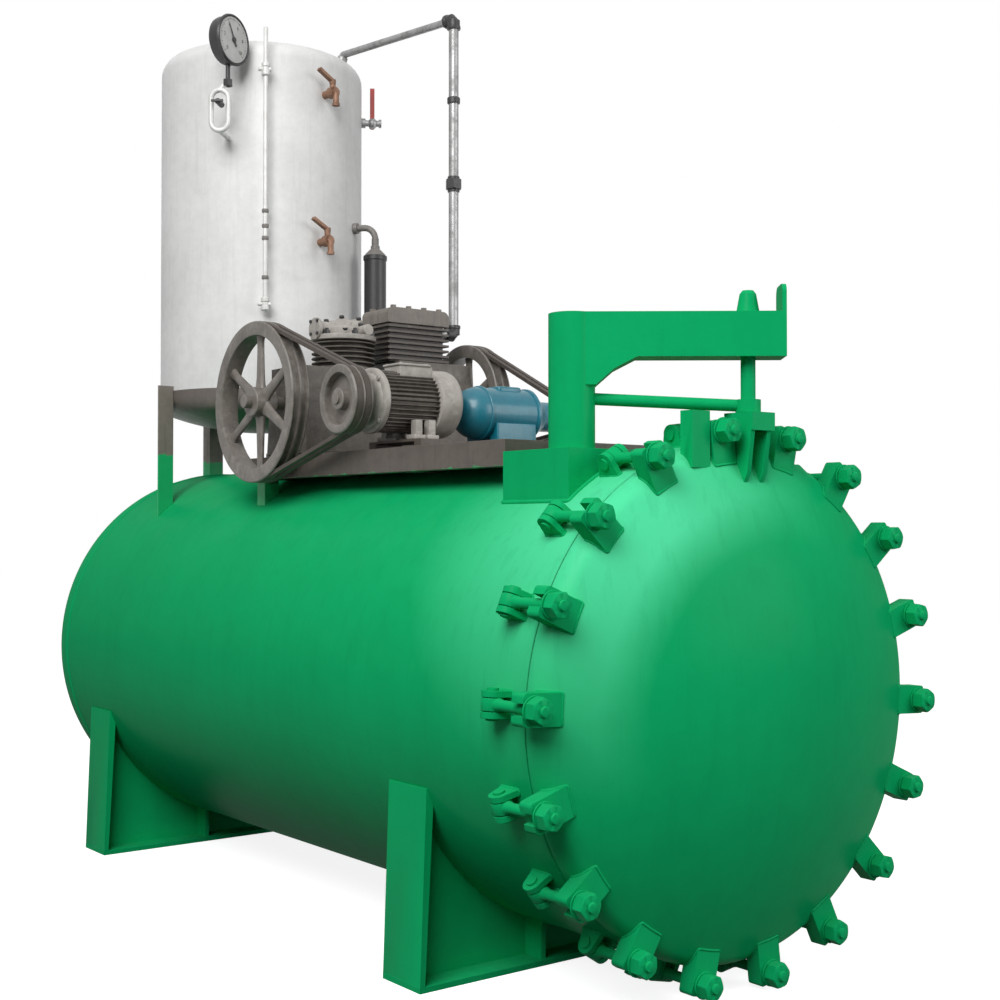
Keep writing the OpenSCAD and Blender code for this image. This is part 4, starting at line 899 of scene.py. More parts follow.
class VESSEL_OT_wheels(bpy.types.Operator):
    """Turns the flywheels and the motor pulleys, with grooves for two belts"""

    bl_idname = "vessel.wheels"
    bl_label = "Wheels"

    rim_half, groove, groove_out, groove_in, groove_depth = 0.029, 0.013, 0.010, 0.009, 0.0112

    def execute(self, context):
        for name, make, ending, sizes in (
            ("flywheel_1", self.spoked, "_casting", (0.044, 0.090, -0.058)),
            ("flywheel_2", self.spoked, "_casting", (0.038, -0.065, 0.058)),
            ("motor_pulley_1", self.plain, "_turning", (0.03, 0.105, -0.035, 0.014)),
            ("motor_pulley_2", self.plain, "_turning", (0.026, -0.075, 0.035, 0.012)),
        ):
            centre = pivot(name)
            wheel = make(centre, corners(name)[1][2] - centre[2], *sizes)
            place(name + ending, wheel, "machined iron", name, (name,), smooth=30)
        return {"FINISHED"}

    def rim(self, radius, depth):
        """Closed rim profile as (radius, along), with two grooves and broken corners."""
        half, c, g = self.rim_half, 0.003, self.groove
        low, bottom = radius - depth, radius - self.groove_depth
        return mirrored([
            (low, 2 * c - half), (low + c * 0.6, c * 0.6 - half), (low + 2 * c, -half), (radius - c, -half),
            (radius, c - half), (radius, -g - self.groove_out), (bottom, -g - self.groove_in),
            (bottom, self.groove_in - g), (radius, self.groove_out - g)])

    @staticmethod
    def on_shaft(shaft, inner_end, face_end, cut, body):
        """Profile of a body on a shaft with two chamfered ends."""
        start, end = sorted((inner_end, face_end))
        return [(0, start), (shaft - cut, start), (shaft, start + cut), *body,
                (shaft, end - cut), (shaft - cut, end), (0, end)]

    def spoked(self, centre, radius, hub, inner_end, face_end):
        """Rim, hub with its shaft, and oval spokes whose radius swells exponentially toward both roots."""
        shaft, half, c, rim_depth, spoke_end = 0.019, 0.0348, 0.003, 0.042, 0.036
        half_hub = [(shaft, -half), (hub - c, -half), (hub, c - half)]
        hub_body = [*half_hub, (hub + 0.002, 0), *mirrored(half_hub)[3:]]
        middle = self.on_shaft(shaft, inner_end, face_end, 0.0015, hub_body)
        s = np.linspace(0, 1, 22)
        reach = hub * 0.7 + (radius - spoke_end - hub * 0.7) * s
        size = 0.0185 - 0.006 * s + 0.010 * np.exp(-s * 14) + 0.011 * np.exp(-(1 - s) * 16)
        spokes = []
        for k in range(6):
            a = k * math.pi / 3 + math.radians(30)
            way = np.array([0, math.cos(a), math.sin(a)])
            spokes.append(rod(centre + reach[:, None] * way, size, 20, 0.62, X))
        rim = revolve(self.rim(radius, rim_depth), centre, X, 160, closed=True)
        return join(rim, revolve(middle, centre, X, 64), *spokes)

    def plain(self, centre, radius, hub, inner_end, face_end, shaft):
        """Rim of a pulley, and its shaft, hub and web as one turned profile."""
        web, half, c = 0.007, self.rim_half, 0.002
        low = max(radius - 0.024, hub)
        body = mirrored([(shaft, -half), (hub - c, -half), (hub, c - half), (hub, -web), (low + 0.002, -web)])
        middle = self.on_shaft(shaft, inner_end, face_end, 0.001, body)
        rim = revolve(self.rim(radius, radius - low), centre, X, 120, closed=True)
        return join(rim, revolve(middle, centre, X, 48))


class VESSEL_OT_motors(bpy.types.Operator):
    """Builds the finned motor in its parts, and the round-ended blue motor"""

    bl_idname = "vessel.motors"
    bl_label = "Motors"

    def execute(self, context):
        self.finned(context.scene.vessel_sizes.fins)
        self.blue()
        return {"FINISHED"}

    @staticmethod
    def grey(name, surface, material="pale casting"):
        """One part of motor 1."""
        dress(name, surface, material, "motor_1", 30)

    def finned(self, fins):
        """Motor 1 from its pulley end: bearing boss, end shield, finned body, fan cover, box and feet."""
        low, high = corners("motor_1")
        x0, x1, r, fin = low[0], high[0], 0.086, 0.010
        centre = np.array([0, MOTOR_Y, pivot("motor_pulley_1")[2]])
        t = np.linspace(0, 2 * np.pi, fins * 10, endpoint=False)
        ridge = np.clip(np.cos(fins * t) * 1.5 - 0.35, 0, 1)
        x = np.array([x0 + 0.001, x0 + 0.003, x0 + 0.006, x1 - 0.079, x1 - 0.076, x1 - 0.074])
        tall = np.array([0.0, 0.7, 1.0, 1.0, 0.7, 0.0])
        radius = r - fin + fin * tall[:, None] * ridge[None, :]
        body = np.stack([x[:, None] + 0 * radius, radius * np.cos(t), radius * np.sin(t)], -1) + centre
        self.grey("motor_1_body", capped(body), "dark casting")
        self.grey("motor_1_shield", self.shield(centre, x0 - 0.032, r))
        slots = [
            point for radius in np.arange(0.066, 0.024, -0.0075) for point in (
                (radius, x1), (radius - 0.0008, x1 - 0.0035), (radius - 0.0032, x1 - 0.0035),
                (radius - 0.004, x1))]
        cover = [(0, x1 - 0.081), (r + 0.004, x1 - 0.081), (r + 0.008, x1 - 0.079), (r + 0.009, x1 - 0.074),
                 (r + 0.009, x1 - 0.022), (r + 0.006, x1 - 0.012), (r - 0.002, x1 - 0.004), (r - 0.012, x1),
                 *slots, (0, x1)]
        self.grey("motor_1_fan_cover", revolve(cover, centre, X, 96))
        y, z = MOTOR_Y, centre[2]
        screw = revolve(lathe_bar(0.005, 0, 0.004, 0.001), ORIGIN, Z, 20)
        box = [brick((x0 + 0.061, y - 0.041, z + 0.066), (x1 - 0.076, y + 0.041, z + 0.1), 0.008),
               brick((x0 + 0.057, y - 0.045, z + 0.099), (x1 - 0.082, y + 0.045, z + 0.106), 0.01, 0.0025)]
        box += [moved(screw, UPRIGHT, (x0 + 0.057 + a, y + b, z + 0.104))
                for a in (0.012, 0.097) for b in (-0.034, 0.034)]
        self.grey("motor_1_box", join(*box))
        foot_z = corners("motor_1_base")[1][2]
        feet = []
        for x in (x0 + 0.074, x1 - 0.130):
            for side in (-1, 1):
                y = MOTOR_Y + side * 0.074
                feet += [
                    brick((x, y - 0.022, foot_z), (x + 0.038, y + 0.022, foot_z + 0.012), 0.006),
                    brick((x + 0.008, y - 0.016, foot_z + 0.01), (x + 0.03, y + 0.012, z - 0.052), 0.004),
                    nut(0.014, 0.008, (x + 0.019, y + side * 0.013, foot_z + 0.012))]
        self.grey("motor_1_feet", join(*feet))

    @staticmethod
    def shield(centre, face, r):
        """End shield with its bearing boss and four bolts, its front at a distance along X."""
        steps = [(0, 0.024), (0.0145, 0.024), (0.0145, 0), (0.038, 0), (0.042, 0.003), (0.043, 0.006),
                 (0.062, 0.008), (0.072, 0.011), (0.076, 0.0145), (r - 0.002, 0.015), (r + 0.003, 0.018),
                 (r + 0.004, 0.021), (r + 0.004, 0.031), (r + 0.002, 0.034), (0.07, 0.034), (0, 0.034)]
        middle, bolt_circle = centre + (face + 0.015) * X, 0.081
        bolts = [
            nut(0.012, 0.006, middle + bolt_circle * np.array([0, math.cos(a), math.sin(a)]), (Y, Z, -X))
            for a in np.radians([45, 135, 225, 315])]
        return join(revolve([(radius, face + along) for radius, along in steps], centre, X, 96), *bolts)

    @staticmethod
    def blue():
        """Motor 2: domed end, smooth body between two rings, cone and nose, with its box, foot and plate."""
        x1 = corners("motor_2")[1][0]
        x0, y, z, r = x1 - 0.337, MOTOR_Y, pivot("motor_pulley_2")[2], 0.075
        centre = np.array([0, y, z])
        t = np.linspace(0, np.pi / 2, 22)
        dome = np.stack([r * np.sin(t), x0 + 0.064 - r * np.cos(t)], -1)
        first = [(0, 0.0635), (0.0025, 0.0645), (0.004, 0.066), (0.004, 0.071), (0.002, 0.073), (0, 0.0735)]
        second = [(0, 0.105), (0.003, 0.104), (0.004, 0.102), (0.004, 0.094), (0.001, 0.092),
                  (-0.006, 0.0915), (-0.014, 0.073)]
        nose = [(0.05, 0.058), (0.045, 0.052), (0.044, 0.046), (0.044, 0.003), (0.041, 0), (0.0125, 0),
                (0.0125, 0.024), (0, 0.024)]
        profile = np.concatenate([
            dome, [(r + swell, x0 + along) for swell, along in first],
            [(r + swell, x1 - along) for swell, along in second],
            [(radius, x1 - along) for radius, along in nose]])
        base = z - 0.118
        parts = [
            revolve(profile, centre, X, 128),
            brick((x0 + 0.076, y - r - 0.012, base), (x1 - 0.102, y + r + 0.012, base + 0.014), 0.01),
            brick((x0 + 0.120, y - 0.034, z + r - 0.02), (x1 - 0.13, y + 0.03, z + r + 0.005), 0.014, 0.007)]
        for side in (-1, 1):
            foot, bolt = y + side * (r - 0.02), y + side * (r - 0.002)
            rail_low, rail_high = (x0 + 0.084, foot - 0.02, base + 0.012), (x1 - 0.11, foot + 0.02, z - 0.03)
            parts.append(brick(rail_low, rail_high, 0.006))
            parts += [nut(0.016, 0.009, (x, bolt, base + 0.014)) for x in (x0 + 0.094, x1 - 0.12)]
        dress("motor_2_casting", join(*parts), "blue paint", "motor_2", 32)


class VESSEL_OT_cylinder(bpy.types.Operator):
    """Turns the finned barrel and the round head of compressor 1, with its bolts and ports"""

    bl_idname = "vessel.cylinder"
    bl_label = "Compressor 1 cylinder"

    def execute(self, context):
        low, high = corners("compressor_1_cylinder")
        base = np.array([high[0] - 0.1, pivot("flywheel_1")[1], low[2]])
        core, fin_pitch = 0.072, 0.015
        fin = [(core, 0.004), (0.0965, 0.0044), (0.098, 0.006), (0.098, 0.007), (0.0965, 0.0086),
               (core, 0.009)]
        barrel = [(0, 0), (0.090, 0), (0.092, 0.002), (0.092, 0.008), (0.090, 0.01), (core, 0.011)]
        barrel += [(radius, k * fin_pitch + along) for k in range(1, 6) for radius, along in fin]
        barrel += [(core, 0.0895), (0, 0.0895)]
        self.iron("cylinder_1_barrel", revolve(barrel, base, Z, 128), "cast iron")
        head = [(0, 0.0898), (0.097, 0.0898), (0.1, 0.092), (0.1, 0.103), (0.098, 0.106), (0.074, 0.107),
                (0.066, 0.109), (0.062, 0.113), (0.062, 0.128), (0.054, 0.136), (0.04, 0.139), (0, 0.139)]
        port = [(0, -0.104), (0.032, -0.104), (0.034, -0.102), (0.034, -0.094), (0.032, -0.092),
                (0.024, -0.09), (0.024, -0.05), (0, -0.05)]
        side = [(0, -0.092), (0.0155, -0.092), (0.017, -0.09), (0.017, -0.04), (0, -0.04)]
        cover, tilted, middle = self.cover(base)
        self.iron("cylinder_1_head", join(
            revolve(head, base, Z, 128), revolve(port, base + 0.124 * Z, X, 48),
            revolve(side, base + np.array([0.034, 0, 0.122]), Y, 40), cover), "pale casting")
        bolts = []
        for k in range(6):
            a = math.radians(60 * k)
            out = tilted[0] * math.cos(a) + tilted[1] * math.sin(a)
            bolts.append(nut(0.015, 0.008, middle + 0.058 * out + 0.0085 * tilted[2], tilted))
            a += math.radians(22.5)
            at = base + np.array([0.085 * math.cos(a), 0.085 * math.sin(a), 0.106])
            bolts += [nut(0.019, 0.012, at), revolve(lathe_bar(0.0055, 0.01, 0.019, 0.001), at, Z, 20)]
        for k in range(4):
            a = math.radians(45 + 90 * k)
            at = base + np.array([-0.102, 0.027 * math.cos(a), 0.128 + 0.027 * math.sin(a)])
            bolts.append(nut(0.010, 0.006, at, (Y, Z, -X)))
        self.iron("cylinder_1_bolts", join(*bolts), "black paint")
        return {"FINISHED"}

    @staticmethod
    def iron(name, surface, material):
        """One part of the cylinder."""
        dress(name, surface, material, "compressor_1_cylinder", 30)

    @staticmethod
    def cover(base):
        """Valve cover: r = 0.057 + 0.011 cos 6t swept along its own axis, which leans toward the pulley side.

        Each ring is the same six-lobed outline, scaled in for the rounded edge and the raised boss.
        """
        lean, heading = math.radians(26), math.radians(232)
        normal = np.array([
            math.sin(lean) * math.cos(heading), math.sin(lean) * math.sin(heading), math.cos(lean)])
        across = np.cross(Y, normal)
        across /= np.linalg.norm(across)
        tilted = np.array([across, np.cross(normal, across), normal])
        middle = base + 0.1385 * Z
        t = np.linspace(0, 2 * np.pi, 144, endpoint=False)
        lobed = 0.057 + 0.011 * np.cos(6 * t)
        steps = [(0.94 * lobed, -0.012), (lobed, -0.0095), (lobed, 0.006), (0.97 * lobed, 0.009),
                 (0.62 * lobed, 0.0095), (0.028, 0.0105), (0.026, 0.0145), (0.021, 0.0165)]
        rings = [np.stack([r * np.cos(t), r * np.sin(t), h + 0 * t], -1) for r, h in steps]
        return moved(capped(np.array(rings)), tilted, middle), tilted, middle


class VESSEL_OT_gauge(bpy.types.Operator):
    """Builds the pressure gauge with its dial, its looped pipe and its cock"""

    bl_idname = "vessel.gauge"
    bl_label = "Pressure gauge"

    tank_turn, stand_off, lift, sweep = -43, 0.096, 0.032, 270
    face_turn, face_r, dial_at = 26.0, 0.081, 0.0232

    def execute(self, context):
        stem = on_tank(self.tank_turn, 0, self.stand_off)[0]
        high, r = TANK_HIGH[2], self.face_r
        centre = stem + (high + self.lift) * Z
        across, normal = self.heading(self.face_turn)
        normal = -normal
        case = [(-0.012, -0.024), (-0.006, -0.020), (-0.003, -0.008), (-0.003, 0.012), (0, 0.014),
                (0.002, 0.018), (0.001, 0.023), (-0.001, 0.0255), (-0.004, 0.0255), (-0.0075, 0.021),
                (-0.009, 0.019)]
        case = [(0, -0.024), *((r + out, along) for out, along in case), (0, 0.019)]
        self.part("gauge_case", revolve(case, centre, normal, 128), "black paint", smooth=35)
        dial = [(0, 0.0188), (r - 0.0075, 0.0188), (r - 0.0078, self.dial_at), (0, self.dial_at)]
        self.part("gauge_dial", revolve(dial, centre, normal, 128), "dial face", "tank_white")
        flat = join(*self.marks(context.scene.vessel_sizes.ticks), self.hand())
        flat = moved(flat, (across, Z, normal), centre + (self.dial_at - 0.0002) * normal)
        self.part("gauge_marks", flat, "black paint", smooth=30)
        self.numbers(centre + (self.dial_at + 0.0002) * normal, across)
        self.siphon(stem, high, r)
        return {"FINISHED"}

    @staticmethod
    def part(name, surface, material, slot="dark_paint", smooth=40):
        """One part of the gauge."""
        dress(name, surface, material, "pressure_gauge", smooth)

    @staticmethod
    def heading(degrees):
        """Unit vector turned by degrees from the first axis of a plane, and the one square to it."""
        a = math.radians(degrees)
        return np.array([math.cos(a), math.sin(a), 0]), np.array([-math.sin(a), math.cos(a), 0])

    def marks(self, ticks):
        """Thin bars round the dial over 270 degrees, every fifth one longer."""
        bars = []
        end = self.face_r - 0.013
        for k in range(ticks + 1):
            way, side = self.heading(225 - self.sweep * k / ticks)
            start, half = (end - 0.007, 0.0009) if k % 5 == 0 else (end - 0.004, 0.0005)
            bar = [start * way + half * side, start * way - half * side,
                   end * way - half * side, end * way + half * side]
            bars.append(capped([np.array(bar) - 0.0002 * Z, np.array(bar) + 0.0006 * Z]))
        return bars

    def hand(self):
        """Tapered pointer with a short tail, and the boss that it turns on."""
        way, side = self.heading(118)
        tail, tip = -0.022, self.face_r - 0.022
        s = np.linspace(tail, tip, 12)[:, None]
        half = np.interp(s, [tail, -0.014, 0.0, tip], [0.0045, 0.003, 0.0034, 0.0006])
        left, right = s * way + half * side, s * way - half * side
        low, high = 0.0024 * Z, 0.0034 * Z
        rings = np.stack([left + low, right + low, right + high, left + high], 1)
        boss = [(0, 0), (0.009, 0), (0.009, 0.0035), (0.0075, 0.005), (0, 0.0052)]
        return join(capped(rings), revolve(boss, ORIGIN, Z, 32))

    def numbers(self, centre, across):
        """Numbers 0 to 10 on the dial, as flat text turned into a mesh standing on the face."""
        normal = np.cross(across, Z)
        points, faces, start = [], [], 0
        for k in range(6):
            curve = bpy.data.curves.new("number", "FONT")
            curve.body, curve.size = str(2 * k), 0.017
            curve.align_x, curve.align_y, curve.extrude = "CENTER", "CENTER", 0.0002
            item = bpy.data.objects.new("number", curve)
            mesh = bpy.data.meshes.new_from_object(item)
            own = np.zeros(len(mesh.vertices) * 3)
            mesh.vertices.foreach_get("co", own)
            own = own.reshape(-1, 3) + (self.face_r - 0.033) * self.heading(225 - self.sweep / 5 * k)[0]
            points.append(centre + own @ np.array([across, Z, normal]))
            faces += [[start + v for v in polygon.vertices] for polygon in mesh.polygons]
            start += len(own)
            bpy.data.objects.remove(item)
            bpy.data.meshes.remove(mesh)
        mesh = bpy.data.meshes.new("gauge_numbers")
        mesh.from_pydata(np.concatenate(points).tolist(), [], faces)
        close_up(mesh, 1e-7)
        seat("gauge_numbers", mesh, "black paint", "vessel", ("pressure_gauge",))

    def siphon(self, gauge_stem, high, r):
        """Looped pipe: two half circles and two straight sides, with the pipes to gauge and tank."""
        reach, tube, axes = 0.029, 0.0085, on_tank(self.tank_turn, 0)[1]
        side, inward = axes[:2]
        stem = gauge_stem - 0.0208 * X + 0.0156 * Y
        top, bottom = high - 0.158, high - 0.232
        up, down = np.linspace(0, np.pi, 24), np.linspace(np.pi, 2 * np.pi, 24)
        across = reach * np.concatenate([np.cos(up), np.cos(down)])
        height = np.concatenate([top + reach * np.sin(up), bottom + reach * np.sin(down)])
        path = stem + across[:, None] * side + height[:, None] * Z
        crest, below_case = top + reach, high + self.lift - r
        foot = stem + (bottom - reach) * Z
        inlet = rounded([foot, foot + 0.02 * inward, foot + 0.118 * inward], 0.01, closed=False)
        outlet = resample([
            stem + crest * Z, gauge_stem + (crest + 0.03) * Z, gauge_stem + (below_case + 0.01) * Z], 0.004)
        pipe = join(hoop(path, tube, 20, inward), rod(inlet, tube, 20), rod(outlet[:8], tube, 20))
        self.part("gauge_loop", pipe, "pale tube", "pipe_steel", 50)
        post = revolve(lathe_bar(0.0075, crest + 0.012, below_case + 0.008), gauge_stem, Z, 28)
        collar = moved(hexagon(0.028, crest + 0.012, crest + 0.034), UPRIGHT, gauge_stem)
        cock_at = stem + (top - 0.014) * Z
        plug = moved(revolve(lathe_bar(0.010, -0.026, 0.022), ORIGIN, Y, 32), axes, cock_at)
        handle = moved(brick((-0.02, -0.034, -0.004), (0.02, -0.026, 0.004), 0.003, 0.0015), axes, cock_at)
        self.part("gauge_fittings", join(post, collar, plug, handle), "black paint", smooth=35)


class VESSEL_OT_pipes(bpy.types.Operator):
    """Lays the sight tube, the separator and the delivery pipe with their fittings"""

    bl_idname = "vessel.pipes"
    bl_label = "Pipes"

    def execute(self, context):
        self.sight()
        self.separator()
        self.delivery()
        return {"FINISHED"}

    @staticmethod
    def sight():
        """Upright tube with grey bands and two cocks, each a sleeve, a plug and an arm to the tank."""
        low, high = corners("sight_tube")
        foot, axes = on_tank(-27, 0, 0.034)
        bottom, end = low[2] + 0.01, high[2] - 0.016
        tube = [(0, bottom), (0.0075, bottom), (0.0075, end - 0.003), (0.0055, end), (0, end)]
        arm = [(0, 0), (0.0085, 0), (0.0085, 0.024), (0.014, 0.026), (0.014, 0.034), (0, 0.034)]
        sleeve = mirrored([(0, -0.022), (0.011, -0.022), (0.014, -0.019), (0.014, -0.009), (0.0115, -0.006)])
        plug = [(0, -0.024), (0.006, -0.024), (0.0075, -0.022), (0.0075, 0.018), (0, 0.018)]
        arm, plug = revolve(arm, ORIGIN, Y, 28), revolve(plug, ORIGIN, X, 20)
        cocks = [foot + z * Z for z in (bottom + 0.012, TANK_HIGH[2] - 0.04)]
        pale = [revolve(tube, foot, Z, 28), *(moved(arm, axes, at) for at in cocks)]
        for at in cocks:
            pale += [revolve(sleeve, at, Z, 28), moved(plug, axes, at)]
        dress("sight_glass", join(*pale), "pale tube", "sight_tube", 35)
        ring = lathe_bar(0.0115, -0.006, 0.006, 0.001, 0.003)
        bands = [revolve(ring, foot + (bottom + z) * Z, Z, 24) for z in (0.1, 0.23, 0.27, 0.32)]
        dress("sight_bands", join(*bands), "grey paint", "sight_tube", 35)

    @staticmethod
    def separator():
        """Upright body with cone ends and a band, and the pipes to the tank and to compressor 2."""
        centre = np.array([0.25, SEAM + 1.9, 0])
        z0, z1 = TANK_LOW[2] + 0.15, TANK_LOW[2] + 0.477
        r, pipe, bend = 0.038, 0.011, 0.042

        def part(name, surface, material, slot="dark_paint", smooth=35):
            """One part of the separator."""
            dress(name, surface, material, "air_separator", smooth)

        body = [(0, z0 - 0.0199), (0.017, z0 - 0.0199), (r - 0.003, z0 - 0.002), (r, z0 + 0.002),
                (r, z1 - 0.016), (0, z1 - 0.016)]
        foot = drum(r + 0.002, z0 + 0.05, z0 + 0.058)
        body = join(revolve(body, centre, Z, 64), revolve(foot, centre, Z, 64))
        part("separator_body", body, "black paint")
        band = lathe_bar(r + 0.003, z1 - 0.017, z1, 0.0015, 0.002)
        part("separator_band", revolve(band, centre, Z, 64), "black paint")
        cap = [(0, z1 - 0.001), (r - 0.001, z1 - 0.001), (r - 0.004, z1 + 0.006), (0.016, z1 + 0.024),
               (0.0155, z1 + 0.034), (0.0125, z1 + 0.036), (0.0125, z1 + 0.06), (0, z1 + 0.06)]
        way = (centre - TANK) * (1, 1, 0)
        reach = np.linalg.norm(way) - TANK_R
        inward = -way / np.linalg.norm(way)
        t = np.linspace(0, np.pi / 2, 14)[:, None]
        top = centre + (z1 + 0.058) * Z
        corner = top + bend * (1 - np.cos(t)) * inward + bend * np.sin(t) * Z
        path = np.concatenate([corner, corner[-1:] + (reach - bend) * inward])
        flange = [(0, reach - 0.016), (0.018, reach - 0.016), (0.019, reach - 0.014), (0.019, reach),
                  (0, reach)]
        flange = revolve(flange, top + bend * Z, inward, 32)
        part("separator_stem", join(revolve(cap, centre, Z, 48), rod(path, pipe, 24), flange), "grey paint",
             "pipe_steel")
        wheel = pivot("flywheel_2")
        crank_y, suction = wheel[1] + 0.04, wheel[2] + 0.147
        port = corners("compressor_2_cylinder")[1][0]
        turn_in = np.array([centre[0], crank_y, suction])
        route = [centre + (z0 - 0.01) * Z, centre + suction * Z, turn_in, (port, crank_y, suction)]
        route = rounded(route, 0.03, 8, closed=False)
        ring = lathe_bar(0.017, -0.006, 0.006, 0.0015, 0.002)
        lower = join(rod(route, pipe, 24), revolve(ring, turn_in + 0.034 * Y, Y, 32),
                     revolve(ring, turn_in - 0.012 * X, X, 32))
        part("separator_pipe", lower, "black paint", smooth=50)

    @staticmethod
    def delivery():
        """Riser, elbows with their sleeves, the run across and the boss on the tank's crown."""
        x, y = 0.282, pivot("flywheel_2")[1]
        low, high = pivot("flywheel_2")[2] + 0.217, TANK_HIGH[2] + 0.102
        port = corners("compressor_2_cylinder")[1][0]
        pipe, run_pipe, elbow = 0.016, 0.012, 0.0205
        lean, turn, crown = math.radians(18.4), math.radians(-53), TANK_END["crown"]
        top = TANK_HIGH[2] + TANK_END["skirt"] + head_arcs(TANK_R, crown, TANK_END["knuckle"])[1]
        up = np.array([math.sin(lean) * math.cos(turn), math.sin(lean) * math.sin(turn), math.cos(lean)])
        boss = TANK + (top - crown) * Z + (crown + 0.012) * up
        port_turn, start = np.array([x, y, low]), np.array([x, y, high])
        run = np.array([boss[0], boss[1], high]) - start

        def part(name, surface, material, slot, smooth):
            """One part of the delivery pipe."""
            dress(name, surface, material, "delivery_pipe", smooth)

        riser = rounded([(port, y, low), port_turn, start, start + run * 0.08], 0.026, 10, closed=False)
        part("delivery_riser", rod(riser, pipe, 28), "pipe steel", "pipe_steel", 50)
        across = rounded([start + run * 0.05, start + run, boss - 0.004 * up], 0.008, 8, closed=False)
        seat_on = [(0, -0.0118), (0.018, -0.0118), (0.018, 0.002), (0.014, 0.006), (0, 0.006)]
        part("delivery_run", join(rod(across, run_pipe, 24), revolve(seat_on, boss, up, 36)), "pipe steel",
             "pipe_steel", 50)
        sleeve = [(0, 0), (0.0215, 0), (0.0225, 0.002), (0.0225, 0.010), (0.0205, 0.012), (0.0205, 0.03),
                  (0.0165, 0.032), (0, 0.032)]
        lower_elbow = join(
            revolve(sleeve, port_turn + 0.032 * Z, -Z, 40), revolve(sleeve, port_turn - 0.034 * X, X, 40),
            rod(riser[1:11], elbow, 28))
        part("delivery_elbow", lower_elbow, "black paint", "dark_paint", 40)
        along = run / np.linalg.norm(run)
        union_z, collar_z = (low + high) / 2 - 0.04, high - 0.275
        base = np.array([x, y, 0.0])
        part("delivery_fittings", join(
            moved(hexagon(0.048, union_z, union_z + 0.034), UPRIGHT, base),
            revolve(drum(0.0195, union_z - 0.008, union_z + 0.042), base, Z, 40),
            revolve(lathe_bar(0.021, collar_z, collar_z + 0.02, 0.0015, 0.002), base, Z, 40),
            revolve(sleeve, start - 0.032 * Z, Z, 40), revolve(sleeve, start + 0.034 * along, -along, 40),
            rod(riser[11:21], elbow, 28)), "black paint", "dark_paint", 35)


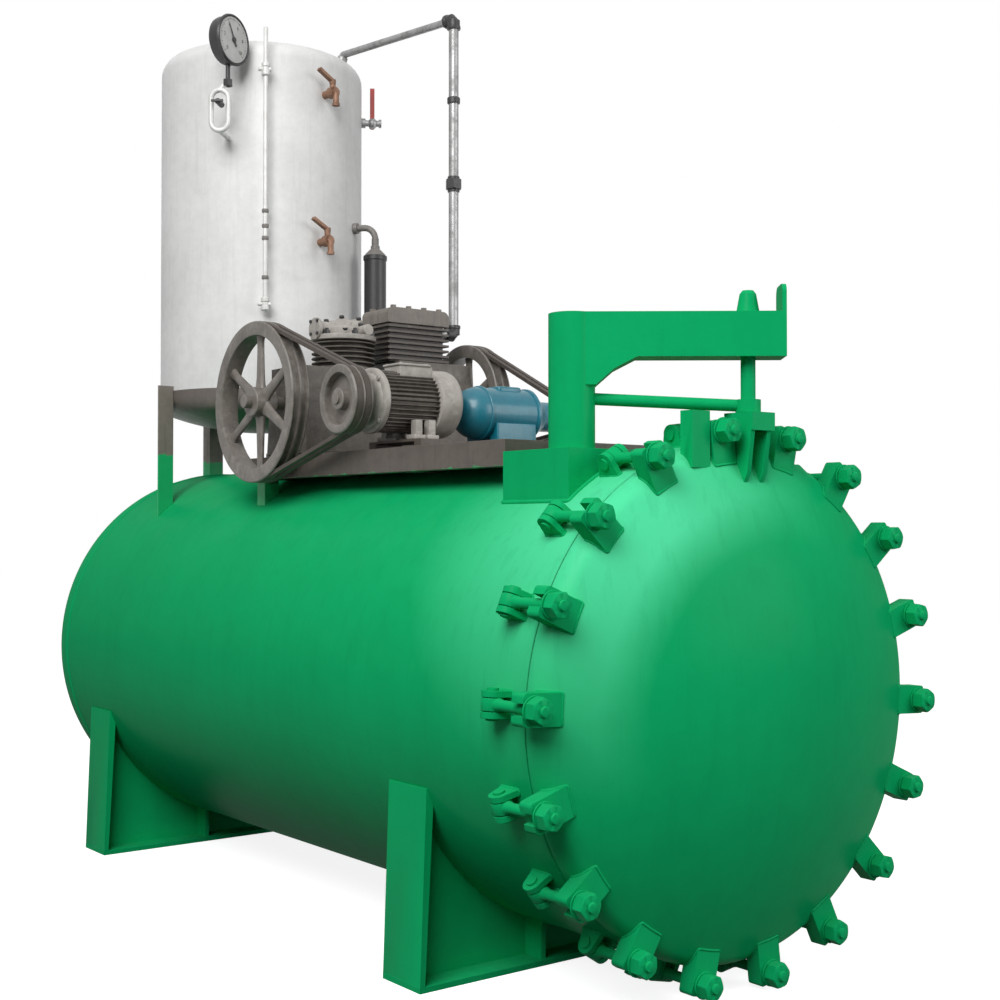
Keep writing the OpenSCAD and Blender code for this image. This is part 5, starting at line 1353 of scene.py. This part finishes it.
class VESSEL_OT_stage(bpy.types.Operator):
    """Sets the pale floor, the soft lights, the world and the camera"""

    bl_idname = "vessel.stage"
    bl_label = "Stage"

    lens = 53.24
    camera_at, camera_tilt, camera_heading = (-2.522, -2.893, 1.0685), math.radians(91.1), -0.6557
    floor_half, floor_cells = 30, 30
    aim = (-0.2, 0.5, 1.1)
    # Name, place, width in metres and power in watts
    lamps = (("key_light", (-4.2, -2.2, 5.3), 4.0, 380), ("fill_light", (3.1, -4.7, 3.0), 3.5, 128))

    def execute(self, context):
        self.floor()
        self.lights()
        self.world()
        data = bpy.data.cameras.new("camera")
        data.sensor_fit, data.sensor_width, data.lens = "HORIZONTAL", 36.0, self.lens
        data.clip_end = 200.0
        camera = bpy.data.objects.new("camera", data)
        camera.location = self.camera_at
        camera.rotation_euler = (self.camera_tilt, 0.0, self.camera_heading)
        context.scene.collection.objects.link(camera)
        context.scene.camera = camera
        context.scene.view_settings.view_transform = "Standard"
        return {"FINISHED"}

    @staticmethod
    def seen(tree):
        """1 for what the camera sees, straight, mirrored or through glass, and 0 for light on things."""
        path = add(tree, "ShaderNodeLightPath").outputs
        direct = maths(tree, "MAXIMUM", path["Is Camera Ray"], path["Is Transmission Ray"])
        return maths(tree, "MAXIMUM", direct, path["Is Glossy Ray"])

    def floor(self):
        """Flat square floor that is white where it is seen and grey as a source of bounced light."""
        material = bpy.data.materials.new("studio white")
        material.use_nodes = True
        tree = material.node_tree
        tree.nodes.clear()
        seen = self.seen(tree)
        speck = noise(tree, position(tree), 3.0, 3.0)
        pale = mix(tree, speck, grey(0.62), grey(0.66))
        tone = mix(tree, seen, grey(0.08), pale)
        glow = times(tree, seen, 0.86)
        shader = add(tree, "ShaderNodeBsdfPrincipled", {
            "Base Color": tone, "Roughness": 1.0, "Specular IOR Level": 0.0,
            "Emission Color": grey(1.0), "Emission Strength": glow})
        add(tree, "ShaderNodeOutputMaterial", {"Surface": shader.outputs[0]})
        count = self.floor_cells + 1
        side = np.linspace(-self.floor_half, self.floor_half, count)
        points = np.stack([*np.meshgrid(side, side, indexing="ij"), np.zeros((count, count))], -1)
        mesh = bpy.data.meshes.new("floor")
        mesh.from_pydata(points.reshape(-1, 3).tolist(), [], quads(count, count)[:, ::-1].tolist())
        mesh.materials.append(material)
        ground = bpy.data.objects.new("floor", mesh)
        bpy.context.scene.collection.objects.link(ground)

    def lights(self):
        """Soft box over the front left and a weaker one at the front right."""
        for name, place_at, size, power in self.lamps:
            data = bpy.data.lights.new(name, "AREA")
            data.size, data.energy = size, power
            lamp = bpy.data.objects.new(name, data)
            lamp.location = place_at
            x, y, z = np.subtract(self.aim, place_at)
            pitch, yaw = math.atan2(z, math.hypot(x, y)), math.atan2(y, x)
            lamp.rotation_euler = (math.pi / 2 + pitch, 0, yaw - math.pi / 2)
            bpy.context.scene.collection.objects.link(lamp)

    def world(self):
        """Sky that is bright above and dim below as a light, and white where it is seen."""
        world = bpy.data.worlds.new("studio")
        world.use_nodes = True
        tree = world.node_tree
        tree.nodes.clear()
        way = add(tree, "ShaderNodeTexCoord").outputs["Generated"]
        height = add(tree, "ShaderNodeSeparateXYZ", {0: way}).outputs[2]
        above = remap(tree, height, 0.0, 1.0, 0.22, 0.42)
        below = remap(tree, height, -0.3, 0.0, 0.04, 0.22)
        white = maths(tree, "MAXIMUM", maths(tree, "MINIMUM", above, below), self.seen(tree))
        background = add(tree, "ShaderNodeBackground", {"Color": grey(1.0), "Strength": white})
        add(tree, "ShaderNodeOutputWorld", {"Surface": background.outputs[0]})
        bpy.context.scene.world = world


class VESSEL_PT_parts(bpy.types.Panel):
    """Sizes, colours and the steps that dress the vessel"""

    bl_idname = "VESSEL_PT_parts"
    bl_label = "Pressure vessel"
    bl_space_type = "VIEW_3D"
    bl_region_type = "UI"
    bl_category = "Vessel"

    def draw(self, context):
        layout = self.layout
        for group in (context.scene.vessel_colours, context.scene.vessel_sizes):
            for name in group.__annotations__:
                layout.prop(group, name)
        for step in STEPS:
            layout.operator(step.bl_idname)


STEPS = (
    VESSEL_OT_finishes, VESSEL_OT_plate, VESSEL_OT_plates, VESSEL_OT_bolts, VESSEL_OT_welds, VESSEL_OT_wheels,
    VESSEL_OT_motors, VESSEL_OT_cylinder, VESSEL_OT_gauge, VESSEL_OT_pipes, VESSEL_OT_stage)
CLASSES = (VesselColours, VesselSizes, *STEPS, VESSEL_PT_parts)


def register():
    for item in CLASSES:
        bpy.utils.register_class(item)
    bpy.types.Scene.vessel_colours = PointerProperty(type=VesselColours)
    bpy.types.Scene.vessel_sizes = PointerProperty(type=VesselSizes)


def unregister():
    del bpy.types.Scene.vessel_sizes
    del bpy.types.Scene.vessel_colours
    for item in reversed(CLASSES):
        bpy.utils.unregister_class(item)


def main():
    """Runs every step in order."""
    register()
    bpy.ops.vessel.finishes()
    bpy.ops.vessel.plate()
    bpy.ops.vessel.plates()
    bpy.ops.vessel.bolts()
    bpy.ops.vessel.welds()
    bpy.ops.vessel.wheels()
    bpy.ops.vessel.motors()
    bpy.ops.vessel.cylinder()
    bpy.ops.vessel.gauge()
    bpy.ops.vessel.pipes()
    bpy.ops.vessel.stage()


if __name__ == "__main__":
    main()
